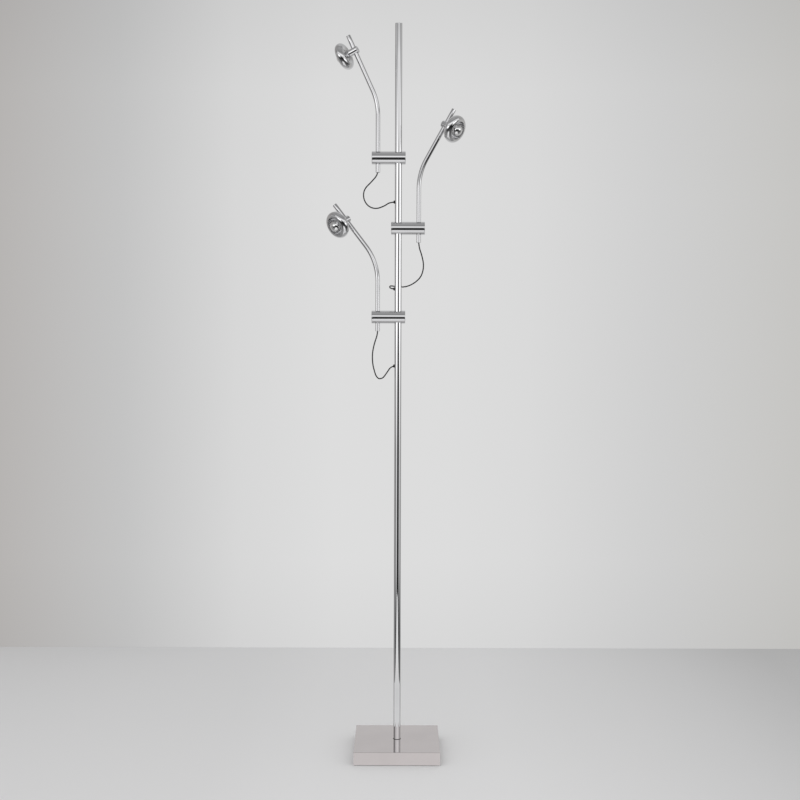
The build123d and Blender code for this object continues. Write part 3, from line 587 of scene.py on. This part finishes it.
# %% Clamps
clamp_radius, clamp_bore = 18.0, 16.5
past_pole, past_arm, cap_rim = 20.0, 17.0, 3.0
cap_roll, cap_plug, cap_depth = 1.2, 16.4, 6
pole_hole, arm_hole, screw_hole = 10.4, 6.65, 2.6


def make_clamp(lamp):
    """The drilled shell of a clamp and its two caps."""
    ends = (-lamp.side * past_pole, lamp.side * (arm_spacing + past_arm))
    low, high = min(ends), max(ends)
    body = "clamp_" + lamp.name
    axis = place((0, 0, lamp.height * mm), (1, 0, 0))
    shell_profile = [
        (clamp_bore, 0), (clamp_bore, low + cap_rim), (clamp_radius, low + cap_rim),
        (clamp_radius, high - cap_rim), (clamp_bore, high - cap_rim), (clamp_bore, 0),
    ]
    shell = piece(
        "clamp_cylinder_" + lamp.name, turned(eased(shell_profile, 0.2), axis, 128), clamp_chrome,
        ["clamp_shell_" + lamp.name], body, "clamp_chrome",
    )
    drills = []
    for x, radius in ((0, pole_hole), (lamp.arm_x, arm_hole)):
        start = (x * mm, 0, lamp.height * mm)
        drills.append(rod(radius, -30, 30, place(start, (0, 0, 1)), sides))
        drills.append(rod(screw_hole, 0, 30, place(start, (0, 1, 0)), 32))
    cut(shell, *drills)
    for end, face, inwards in (("left", low, 1), ("right", high, -1)):
        rim = [
            (clamp_radius - cap_roll + cap_roll * sin(angle),
             face + inwards * cap_roll * (1 - cos(angle)))
            for angle in (step * pi / 16 for step in range(9))
        ]
        cap_profile = [
            (0, face), *rim, (clamp_radius, face + inwards * cap_rim),
            (cap_plug, face + inwards * cap_rim), (cap_plug, face + inwards * cap_depth),
            (0, face + inwards * cap_depth),
        ]
        piece(
            f"clamp_cap_{end}_{lamp.name}", turned(eased(cap_profile, 0.15), axis, 128),
            clamp_chrome, ["clamp_caps_" + lamp.name], body, "clamp_chrome",
        )


for lamp in lamps:
    make_clamp(lamp)
print(count("clamp_cylinder_upper", "clamp_cap_left_upper"))

# %% [markdown]
# The arm is a thin tube, bent once and closed at its tip. A circle carried along the bend line
# gives it. A grid rolled up into a tube is used, because each row of the grid is one ring of the
# tube: the rows come close together in the bend and far apart on the straight runs. The same
# helper makes the cords.

# %% Arms
bend_steps, tip_edge, foot_edge = 24, 0.5, 0.2
cord_hole, bush_radius, bush_depth = 1.85, 4.9, 8


def rolled(rings, around=48):
    """A tube from a grid: each ring is (centre, direction, radius) in metres, in order."""
    bm = bmesh.new()
    bm.loops.layers.uv.new("along")
    bmesh.ops.create_grid(
        bm, x_segments=around, y_segments=len(rings) - 1, size=0.5, calc_uvs=True
    )
    side = rings[0][1].orthogonal().normalized()
    frames = []
    for centre, way, radius in rings:
        side = (side - way * side.dot(way)).normalized()
        frames.append((centre, side, way.cross(side), radius))
    for vertex in bm.verts:
        centre, side, other, radius = frames[round((vertex.co.y + 0.5) * (len(rings) - 1))]
        angle = 2 * pi * (vertex.co.x + 0.5)
        vertex.co = centre + (side * cos(angle) + other * sin(angle)) * radius
    bmesh.ops.remove_doubles(bm, verts=bm.verts, dist=1e-7)
    return bm


def make_arm(lamp):
    """A bent tube, closed at its tip, and the bush in its open foot."""
    arc_length = bend_radius * lamp.bend
    distances = [-arm_below + tip_edge, 0, lamp.bend_start]
    distances += [
        lamp.bend_start + arc_length * step / bend_steps for step in range(1, bend_steps + 1)
    ]
    distances += [lamp.tip_at - 20, lamp.tip_at - tip_edge]
    rings = []
    start, end = lamp.on_arm(-arm_below), lamp.on_arm(lamp.tip_at)
    for centre, radius in (
        (start[0] + scene_up * bush_depth, arm_bore), (start[0] + scene_up * foot_edge, arm_bore),
        (start[0], arm_bore + foot_edge), (start[0], arm_radius - tip_edge),
    ):
        rings.append((centre * mm, start[1], radius * mm))
    for distance in distances:
        centre, way = lamp.on_arm(distance)
        rings.append((centre * mm, way, arm_radius * mm))
    for back, radius in ((0.15, arm_radius - 0.15), (0, arm_radius - tip_edge), (0, 0)):
        rings.append(((end[0] - end[1] * back) * mm, end[1], radius * mm))
    piece(
        "arm_tube_" + lamp.name, rolled(rings), arm_chrome, ["arm_" + lamp.name],
        "arm_" + lamp.name, "arm_chrome",
    )
    foot = place((lamp.arm_x * mm, 0, (lamp.height - arm_below) * mm), (0, 0, 1))
    bush = [
        (cord_hole, 4), (cord_hole, 0.3), (bush_radius, 0.3), (bush_radius, bush_depth),
        (cord_hole, bush_depth), (cord_hole, 4),
    ]
    piece(
        "arm_cord_bush_" + lamp.name, turned(eased(bush, 0.4), foot, 64), black_rubber,
        ["cord_bush_" + lamp.name], "arm_" + lamp.name, "black_rubber",
    )


for lamp in lamps:
    make_arm(lamp)
print(count("arm_tube_upper", "arm_cord_bush_upper"))

# %% [markdown]
# The head: a short block slides on the arm, and a socket screw in its back end holds it. It carries
# a spun ring. The sheet starts at the holder, opens in a shallow dish, turns over the lip and
# rolls round behind like the rim of a bowl. The profile is that section, walked once round.

# %% Heads
ring_centre, ring_section, ring_middle, wall = 26.0, 12.5, 35.0, 1.0
floor_radius, floor_back = 10.0, 26.0
floor_front = floor_back + wall
block_radius, block_back, block_front, block_edge = 10, -9.5, 26, 0.8
hole_for_arm, hole_for_holder, hole_for_lead, hole_for_screw = 6.3, 7.6, 2.5, 2.1
holder_profile = [
    (0, 10.6), (7.5, 10.6), (7.5, 27), (9.5, 27), (9.5, 28.2), (4.7, 28.2), (4.7, 12.3), (0, 12.3),
]
lip = (ring_centre - 0.7, ring_middle + ring_section)
dish_middle = (lip[0] ** 2 + lip[1] ** 2 - floor_radius**2 - floor_front**2) / (
    2 * (lip[1] - floor_front)
)
dish_radius = hypot(lip[0], lip[1] - dish_middle)


def arc(centre, radius, start, end, steps):
    """Points on an arc, from one angle to another."""
    angles = [start + (end - start) * step / steps for step in range(steps + 1)]
    return [(centre[0] + radius * cos(a), centre[1] + radius * sin(a)) for a in angles]


def meet(first, first_radius, second, second_radius):
    """The two points where two circles cross."""
    dx, dy = second[0] - first[0], second[1] - first[1]
    apart = hypot(dx, dy)
    spread_angle = acos(
        (first_radius**2 + apart**2 - second_radius**2) / (2 * first_radius * apart)
    )
    towards = atan2(dy, dx)
    return [
        (first[0] + first_radius * cos(a), first[1] + first_radius * sin(a))
        for a in (towards - spread_angle, towards + spread_angle)
    ]


def angle_to(centre, point):
    """The angle of a point as seen from a centre."""
    return atan2(point[1] - centre[1], point[0] - centre[0])


def ring_profile():
    """The section of the spun sheet: holder edge, back, curl, outside, lip, dish and its floor."""
    section, ball = (ring_centre, ring_middle), (0, dish_middle)
    inner, back = ring_section - wall, dish_radius + wall
    under_lip = max(meet(section, inner, ball, back), key=lambda point: point[1])
    curl = min(meet(section, inner, ball, back + 0.4), key=lambda point: point[1])
    floor_edge = (sqrt(back**2 - (floor_back - dish_middle) ** 2), floor_back)
    curl_angle = angle_to(section, curl)
    back_arc = arc(ball, back, angle_to(ball, floor_edge), angle_to(ball, under_lip), 20)
    inner_arc = arc(section, inner, angle_to(section, under_lip), curl_angle, 40)
    outer_arc = arc(section, ring_section, curl_angle, pi / 2, 56)
    front_arc = arc(
        ball, dish_radius, angle_to(ball, lip), angle_to(ball, (floor_radius, floor_front)), 28
    )
    edge_middle = (hole_for_holder, (floor_back + floor_front) / 2)
    return [
        edge_middle, (hole_for_holder, floor_back), *back_arc, *inner_arc, *outer_arc, *front_arc,
        (hole_for_holder, floor_front), edge_middle,
    ]


def make_head(lamp):
    """The block on the arm, the spun ring and the holder."""
    body, axis = "head_" + lamp.name, lamp.head_place()
    block_profile = [
        (0, block_back), (block_radius - block_edge, block_back),
        (block_radius, block_back + block_edge), (block_radius, block_front - block_edge),
        (block_radius - block_edge, block_front), (0, block_front),
    ]
    head_block = piece(
        "head_cylinder_" + lamp.name, turned(eased(block_profile, 0.25), axis), head_chrome,
        ["head_block_" + lamp.name], body, "head_chrome",
    )
    cut(
        head_block,
        rod(hole_for_arm, -15, 15, place(lamp.joint * mm, lamp.along), sides),
        rod(hole_for_holder, 10.5, 30, axis, 64),
        rod(hole_for_lead, 0, 12, axis, 32),
        rod(hole_for_screw, -12, 0, axis, 32),
    )
    piece(
        "head_ring_" + lamp.name, turned(eased(ring_profile(), 0.12), axis, 160),
        head_chrome, ["reflector_" + lamp.name], body, "head_chrome",
    )
    piece(
        "lamp_socket_" + lamp.name, turned(eased(holder_profile, 0.3), axis), white_plastic,
        ["lampholder_" + lamp.name], body, "white_plastic",
    )


for lamp in lamps:
    make_head(lamp)
print(count("head_cylinder_upper", "head_ring_upper", "lamp_socket_upper"))

# %% [markdown]
# The bulb is a small globe with a mirrored crown, which throws its light back into the dish. The
# crown is silvered inside, so the front of the glass is a mirror, while the neck stays clear over
# a white coat. The cap is plain nickel. One profile gives all of it, cut into three pieces where
# the finish changes.

# %% Bulbs
clear_glass, clear_tree, clear_shader = finish("clear_glass", (0.9, 0.9, 0.9), 0.04)
clear_shader.inputs["Coat Weight"].default_value = 0.6
neck_shade = ramp(clear_tree, noise(clear_tree, 60.0), [(0.3, 0.78), (0.7, 0.86)])
clear_tree.links.new(neck_shade, clear_shader.inputs["Base Color"])
crown_shade = ramp(glass_tree, noise(glass_tree, 80.0), [(0.3, 0.72), (0.7, 0.78)])
glass_tree.links.new(crown_shade, glass_shader.inputs["Base Color"])
globe_middle, globe_radius, neck_radius = 42.0, 16, 13.227
cap_radius, cap_foot, cap_top = 4.6, 12.7, 28.9
crown_start = radians(8)


def make_bulb(lamp):
    """The cap, the clear neck and the mirrored crown of one bulb."""
    axis, body = lamp.head_place(), "head_" + lamp.name
    globe, neck_centre = (0, globe_middle), (globe_radius - neck_radius, globe_middle)
    neck_start = angle_to(neck_centre, (cap_radius, cap_top))
    neck = arc(neck_centre, neck_radius, neck_start, 0, 24)
    skirt = arc(globe, globe_radius, 0, crown_start, 3)
    crown = arc(globe, globe_radius, crown_start, pi / 2, 30)
    crown[-1] = (0, globe_middle + globe_radius)
    pieces_of_bulb = (
        ("bulb_cap_", [(0, cap_foot), (cap_radius, cap_foot), (cap_radius, cap_top)], cap_metal),
        ("bulb_neck_", neck + skirt[1:], clear_glass),
        ("bulb_crown_", crown, mirror_glass),
    )
    for name, profile, material in pieces_of_bulb:
        piece(
            name + lamp.name, turned(eased(profile, 0.3), axis), material, ["bulb_" + lamp.name],
            body, "lamp_glass",
        )


for lamp in lamps:
    make_bulb(lamp)
print(count("bulb_cap_upper", "bulb_neck_upper", "bulb_crown_upper"))

# %% [markdown]
# Rubber grommets line the holes where cords enter: a cone on the pole for each lamp, and a
# flanged one at the back of the base, where the supply lead would go in. They are turned about
# their cord.

# %% Grommets
cone = eased([
    (cord_hole, 8.2), (cord_hole, 10), (2.55, 13.5), (3.2, 13.5), (5, 9.95), (5, 8.9), (3.1, 8.4),
    (cord_hole, 8.2),
], 0.35)
for lamp in lamps:
    axis = place((0, 0, lamp.grommet * mm), (-1, 0, 0))
    piece(
        "grommet_cone_" + lamp.name, turned(cone, axis, 64), black_rubber,
        ["grommet_" + lamp.name], "stand", "black_rubber",
    )
flanged = eased([
    (3.3, 120), (3.3, 122), (7, 122), (8, 120), (4.9, 120), (4.9, 117.5), (7, 117.5), (7, 115.5),
    (3.3, 115.5), (3.3, 120),
], 0.4)
piece(
    "inlet_flanged_grommet", turned(flanged, place((0, 0, inlet_height * mm), (0, 1, 0)), 64),
    black_rubber, ["inlet_grommet"], "stand", "black_rubber",
)
print(count("grommet_cone_upper", "inlet_flanged_grommet"))

# %% [markdown]
# A cord leaves each arm's foot, hangs in a loose loop and goes into the pole below. Its route is
# one smooth NURBS curve, and the tube follows points read from that curve. The clamp slides on
# the pole and also turns about it. The cord is made in two halves that meet in the loop: the
# lower half runs from the pole to the loop, and the upper half from the loop to the arm's bush.

# %% Cords
cord_diameter = 0.0035
routes = {
    "upper": [
        (-57, 0, 1650), (-57, 0, 1636), (-76, 0, 1615), (-96, 0, 1595), (-97.5, 0, 1569),
        (-84, 0, 1548), (-62, 0, 1541), (-38.5, 0, 1549.5), (-23, 0, 1560.5), (-5, 0, 1560.5),
    ],
    "middle": [
        (57, 0, 1456), (57, 0, 1439), (66.5, 0, 1412), (72, 2, 1385), (66.5, 5, 1357),
        (50, 8, 1339), (29, 13, 1327.5), (8, 18, 1324.5), (-13, 21, 1328), (-24.5, 13.5, 1328.5),
        (-21.5, 0, 1319.5), (-5, 0, 1319.5),
    ],
    "lower": [
        (-57, 0, 1209), (-57, 0, 1193), (-66, 0, 1168), (-72, 0, 1139), (-71, 0, 1110),
        (-66, 0, 1090), (-62, 0, 1077), (-54.5, 0, 1067.5), (-42, 0, 1069.5), (-31, 0, 1085),
        (-18.5, 0, 1104), (-5, 0, 1104),
    ],
}


def cord_line(route):
    """Points read from the smooth curve of a route, in metres."""
    curve = bpy.data.curves.new("route", "CURVE")
    curve.dimensions = "3D"
    curve.resolution_u = 16
    spline = curve.splines.new("NURBS")
    spline.points.add(len(route) - 1)
    for point, position in zip(spline.points, route):
        point.co = (*[value * mm for value in position], 1)
    spline.order_u = 3
    spline.use_endpoint_u = True
    holder = bpy.data.objects.new("route", curve)
    bpy.context.scene.collection.objects.link(holder)
    mesh = bpy.data.meshes.new_from_object(
        holder.evaluated_get(bpy.context.evaluated_depsgraph_get())
    )
    line = [vertex.co.copy() for vertex in mesh.vertices]
    bpy.data.objects.remove(holder)
    bpy.data.meshes.remove(mesh)
    return line


def length_of(line):
    """The length of a row of points."""
    return sum((after - before).length for before, after in zip(line, line[1:]))


def tube_along(line):
    """A cord's tube along a row of points."""
    rings = []
    for index, point in enumerate(line):
        before, after = line[max(index - 1, 0)], line[min(index + 1, len(line) - 1)]
        rings.append((point, (after - before).normalized(), cord_diameter / 2))
    return rolled(rings, 20)


def make_cord(lamp):
    """Both halves of one cord, each a tube along its part of the route."""
    line = cord_line(routes[lamp.name])
    total, travelled, middle = length_of(line), 0.0, 0
    while travelled < total / 2:
        travelled += (line[middle + 1] - line[middle]).length
        middle += 1
    upper_line, lower_line = line[: middle + 1], line[middle:][::-1]
    nodes = ["flex_" + lamp.name]
    halves = (
        ("cord_lower_", lower_line, "stand", "bush_", "grommet_cone_"),
        ("cord_upper_", upper_line, "clamp_", "bush_", "arm_cord_bush_"),
    )
    for prefix, part, fixed, moving, fitting in halves:
        half = piece(prefix + lamp.name, tube_along(part), cord_black)
        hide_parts(*nodes)
        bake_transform(half)
    return total


for lamp in lamps:
    print(lamp.name, "cord", round(make_cord(lamp), 4), "m")

# %% [markdown]
# The studio is a pale floor and a pale wall behind the lamp. Both are single sheets that belong to
# the stage and not to the lamp. Their finishes are not those of a piece, so they start from an
# empty tree.

# %% Stage helpers
wall_y = 1.15
paper_front, paper_depth, paper_half_width = -2.05, -3.0, 0.7
seen_half_width, seen_height = 1.5, 2.8
stage_size, wall_height = 24, 8


def plane(name, width, length, matrix):
    """A flat sheet of the stage, set in place."""
    bm = bmesh.new()
    bmesh.ops.create_grid(bm, x_segments=1, y_segments=1, size=0.5)
    bmesh.ops.scale(bm, vec=(width, length, 1), verts=bm.verts)
    bmesh.ops.transform(bm, matrix=matrix, verts=bm.verts)
    mesh = bpy.data.meshes.new(name)
    bm.to_mesh(mesh)
    bm.free()
    made = bpy.data.objects.new(name, mesh)
    bpy.context.scene.collection.objects.link(made)
    return made


def shader_tree(name):
    """A material without a shader yet."""
    material = bpy.data.materials.new(name)
    material.use_nodes = True
    tree = material.node_tree
    output = tree.nodes["Material Output"]
    tree.nodes.remove(tree.nodes["Principled BSDF"])
    return material, tree, output


print("stage", stage_size, "m wide, wall at", wall_y, "m")

# %% [markdown]
# The floor has two faces. The camera sees paper whose colour carries a painted shade: darker
# towards the wall and towards both sides, where less light falls. The chrome sees a painted
# reflection: a strip of paper that glows with a painted brightness that changes along its depth,
# and ends at both sides and in front, with the dark of the room past it.

# %% Floor
floor_material, floor_tree, floor_output = shader_tree("paper_floor")
floor_axes = axes(floor_tree, "Object")
depth = spread(floor_tree, floor_axes["Y"], 0, 1, paper_depth, wall_y)
across_floor = spread(floor_tree, floor_axes["X"], 0, 1, -seen_half_width, seen_half_width)
# Painted shade in the paper's colour: darker towards the wall and to both sides.
painted_shade_to_wall = ramp(floor_tree, depth, [(0.0, 0.82), (0.55, 0.78), (1.0, 0.69)])
painted_shade_to_sides = ramp(floor_tree, across_floor, [
    (0.05, 0.94), (0.33, 0.95), (0.42, 0.99), (0.6, 1.0), (0.75, 0.93), (0.83, 0.88), (0.95, 0.77),
])
painted_floor_shade = mixed(floor_tree, painted_shade_to_wall, painted_shade_to_sides, how="MULTIPLY")
paper = add(floor_tree, "ShaderNodeBsdfDiffuse", {"Color": painted_floor_shade}).outputs["BSDF"]
gone = add(floor_tree, "ShaderNodeBsdfTransparent").outputs["BSDF"]


def at_depth(metres):
    """A place on the depth ramp."""
    return (metres - paper_depth) / (wall_y - paper_depth)


# Painted reflection: for the chrome the paper glows instead of being lit, brighter or darker along
# its depth.
painted_floor_reflection = ramp(floor_tree, depth, [
    (at_depth(-2.0), 0.85), (at_depth(-1.5), 1.08), (at_depth(-1.1), 1.05), (at_depth(-0.6), 0.86),
    (at_depth(-0.12), 0.92), (at_depth(0.1), 0.6), (at_depth(0.4), 0.45), (at_depth(0.9), 0.5),
])
glowing_floor_reflection = add(floor_tree, "ShaderNodeEmission", {"Color": painted_floor_reflection}).outputs[0]
aside = calculated(floor_tree, "ABSOLUTE", floor_axes["X"], 0)
past_front = calculated(floor_tree, "LESS_THAN", floor_axes["Y"], paper_front)
past_side = calculated(floor_tree, "GREATER_THAN", aside, paper_half_width)
off_paper = calculated(floor_tree, "MAXIMUM", past_front, past_side)
reflected_floor = either(floor_tree, off_paper, glowing_floor_reflection, gone)
glossy = add(floor_tree, "ShaderNodeLightPath").outputs["Is Glossy Ray"]
floor_surface = either(floor_tree, glossy, paper, reflected_floor)
floor_tree.links.new(floor_surface, floor_output.inputs["Surface"])
floor = plane("floor", stage_size, stage_size, world_axes)
floor.data.materials.append(floor_material)
print("floor nodes", len(floor_tree.nodes))

# %% [markdown]
# The wall glows with a painted light of its own instead of being lit, so that nothing on it
# depends on the lamps: its painted shade is a little darker to the sides and towards the top,
# where less light falls. It is one-sided, so that a camera behind it still sees the lamp.

# %% Wall
wall_material, wall_tree, wall_output = shader_tree("paper_wall")
wall_axes = axes(wall_tree, "Object")
across_wall = spread(wall_tree, wall_axes["X"], 0, 1, -seen_half_width, seen_half_width)
up_the_wall = spread(wall_tree, wall_axes["Z"], 0, 1, 0.0, seen_height)
# Painted shade: the wall's glow is darker to the sides and towards the top.
painted_shade_sideways = ramp(wall_tree, across_wall, [
    (0.0, (0.47, 0.455, 0.445)), (0.16, 0.55), (0.3, 0.68), (0.42, 0.725), (0.56, 0.72),
    (0.66, 0.7), (0.82, 0.625), (1.0, (0.565, 0.56, 0.545)),
])
painted_shade_upwards = ramp(wall_tree, up_the_wall, [
    (0.0, 0.95), (0.12, 1.0), (0.6, 1.0), (0.74, 0.98), (0.85, 0.91), (1.0, 0.82),
])
painted_wall_shade = mixed(wall_tree, painted_shade_sideways, painted_shade_upwards, how="MULTIPLY")
glow = add(wall_tree, "ShaderNodeEmission", {"Color": painted_wall_shade}).outputs[0]
clear = add(wall_tree, "ShaderNodeBsdfTransparent").outputs["BSDF"]
behind = add(wall_tree, "ShaderNodeNewGeometry").outputs["Backfacing"]
wall_tree.links.new(either(wall_tree, behind, glow, clear), wall_output.inputs["Surface"])
wall_middle = place((0, wall_y, wall_height / 2), (0, -1, 0), (1, 0, 0))
wall = plane("wall", stage_size, wall_height, wall_middle)
wall.data.materials.append(wall_material)
print("wall nodes", len(wall_tree.nodes))

# %% [markdown]
# Chrome shows the room rather than itself, so the world has two faces as well: a plain level for
# light, and for reflections the room that the photograph's chrome shows. That room is dark below
# eye level behind the camera, has a bright band above it, a tall soft box on each side, and dim
# walls. Each shade is a ramp along the height or along the bearing, and the stops are given in
# degrees.

# %% Directions in the room
world = bpy.data.worlds.new("studio")
world.use_nodes = True
bpy.context.scene.world = world
world.cycles.sampling_method = "NONE"
room = world.node_tree
direction = axes(room, "Generated")
elevation = spread(room, direction["Z"], 0, 1, -1, 1)
towards_camera = calculated(room, "MULTIPLY", direction["Y"], -1.0)
bearing = calculated(room, "ARCTAN2", direction["X"], towards_camera)
around_room = spread(room, bearing, 0, 1, -pi, pi)


def at_height(degrees):
    """A place on a height ramp, from an angle above eye level."""
    return (sin(radians(degrees)) + 1) / 2


def at_bearing(degrees):
    """A place on a bearing ramp, from an angle to the right of the camera."""
    return (degrees + 180) / 360


print("eye level at", at_height(0), "and the camera at", at_bearing(0), "of the ramps")

# %% Shades of the room
front = ramp(room, elevation, [
    (0.0, 0.2), (at_height(-34), 0.1), (at_height(-20), 0.02), (at_height(-11), 0.02),
    (at_height(-3), 0.03), (at_height(0), 0.2), (at_height(6), 0.45), (at_height(8.5), 0.95),
    (at_height(11.3), 1.1), (at_height(12.5), 0.75), (at_height(17), 1.3), (at_height(25), 1.3),
    (at_height(31), 0.6), (at_height(38), 0.4), (at_height(46), 0.33), (1.0, 0.47),
])
sides_of_room = ramp(room, elevation, [
    (0.0, 0.35), (at_height(-15), 0.3), (at_height(-6), 0.27), (at_height(-3), 0.5),
    (at_height(12), 0.6), (at_height(16), 0.32), (at_height(24), 0.3), (at_height(40), 0.42),
    (1.0, 0.36),
])
turned_away = ramp(room, around_room, [
    (0.0, 1.0), (at_bearing(-68), 1.0), (at_bearing(-58), 0.0), (at_bearing(82), 0.0),
    (at_bearing(92), 1.0),
])
boxes = ramp(room, around_room, [
    (at_bearing(-60), 0.0), (at_bearing(-55), 1.0), (at_bearing(-20), 1.0), (at_bearing(-15), 0.0),
    (at_bearing(40), 0.0), (at_bearing(44), 1.0), (at_bearing(76), 1.0), (at_bearing(81), 0.0),
])
box_height = ramp(room, elevation, [
    (at_height(-14), 0.0), (at_height(-12), 1.0), (at_height(25), 1.0), (at_height(28), 0.0),
])
box_light = ramp(room, elevation, [
    (at_height(-13), 0.35), (at_height(-11), 0.75), (at_height(-6), 0.95), (at_height(-3), 1.4),
    (at_height(0), 2.2), (at_height(6.5), 2.0), (at_height(8), 1.3), (at_height(10), 0.9),
    (at_height(11.7), 0.5), (at_height(13), 0.4), (at_height(16), 0.95), (at_height(27), 1.1),
])
box_mask = calculated(room, "MULTIPLY", boxes, box_height)
walls_of_room = mixed(room, front, sides_of_room, turned_away)
reflected = mixed(room, walls_of_room, box_light, box_mask)
rays = add(room, "ShaderNodeLightPath").outputs
mirrored = calculated(room, "MAXIMUM", rays["Is Glossy Ray"], rays["Is Transmission Ray"])
plain_light, backdrop = (0.92, 0.92, 0.93, 1), (0.69, 0.69, 0.69, 1)
lit = mixed(room, plain_light, reflected, mirrored)
shown = mixed(room, lit, backdrop, rays["Is Camera Ray"])
room.links.new(shown, room.nodes["Background"].inputs["Color"])
print("room nodes", len(room.nodes))

# %% [markdown]
# One wide, weak lamp overhead gives the floor the soft shadow of the base. It is kept out of the
# reflections, because the room above already holds the bright shapes that the chrome shows.

# %% Overhead lamp
overhead_width, overhead_length, overhead_watts = 2.4, 1.6, 12.0
overhead_data = bpy.data.lights.new("overhead", "AREA")
overhead_data.shape = "RECTANGLE"
overhead_data.size, overhead_data.size_y = overhead_width, overhead_length
overhead_data.energy = overhead_watts
overhead = bpy.data.objects.new("overhead", overhead_data)
bpy.context.scene.collection.objects.link(overhead)
overhead.matrix_world = place((-0.5, -0.6, 3.2), (-0.15, -0.2, 1))
overhead.visible_glossy = False
print("overhead lamp", overhead_data.energy, "W")
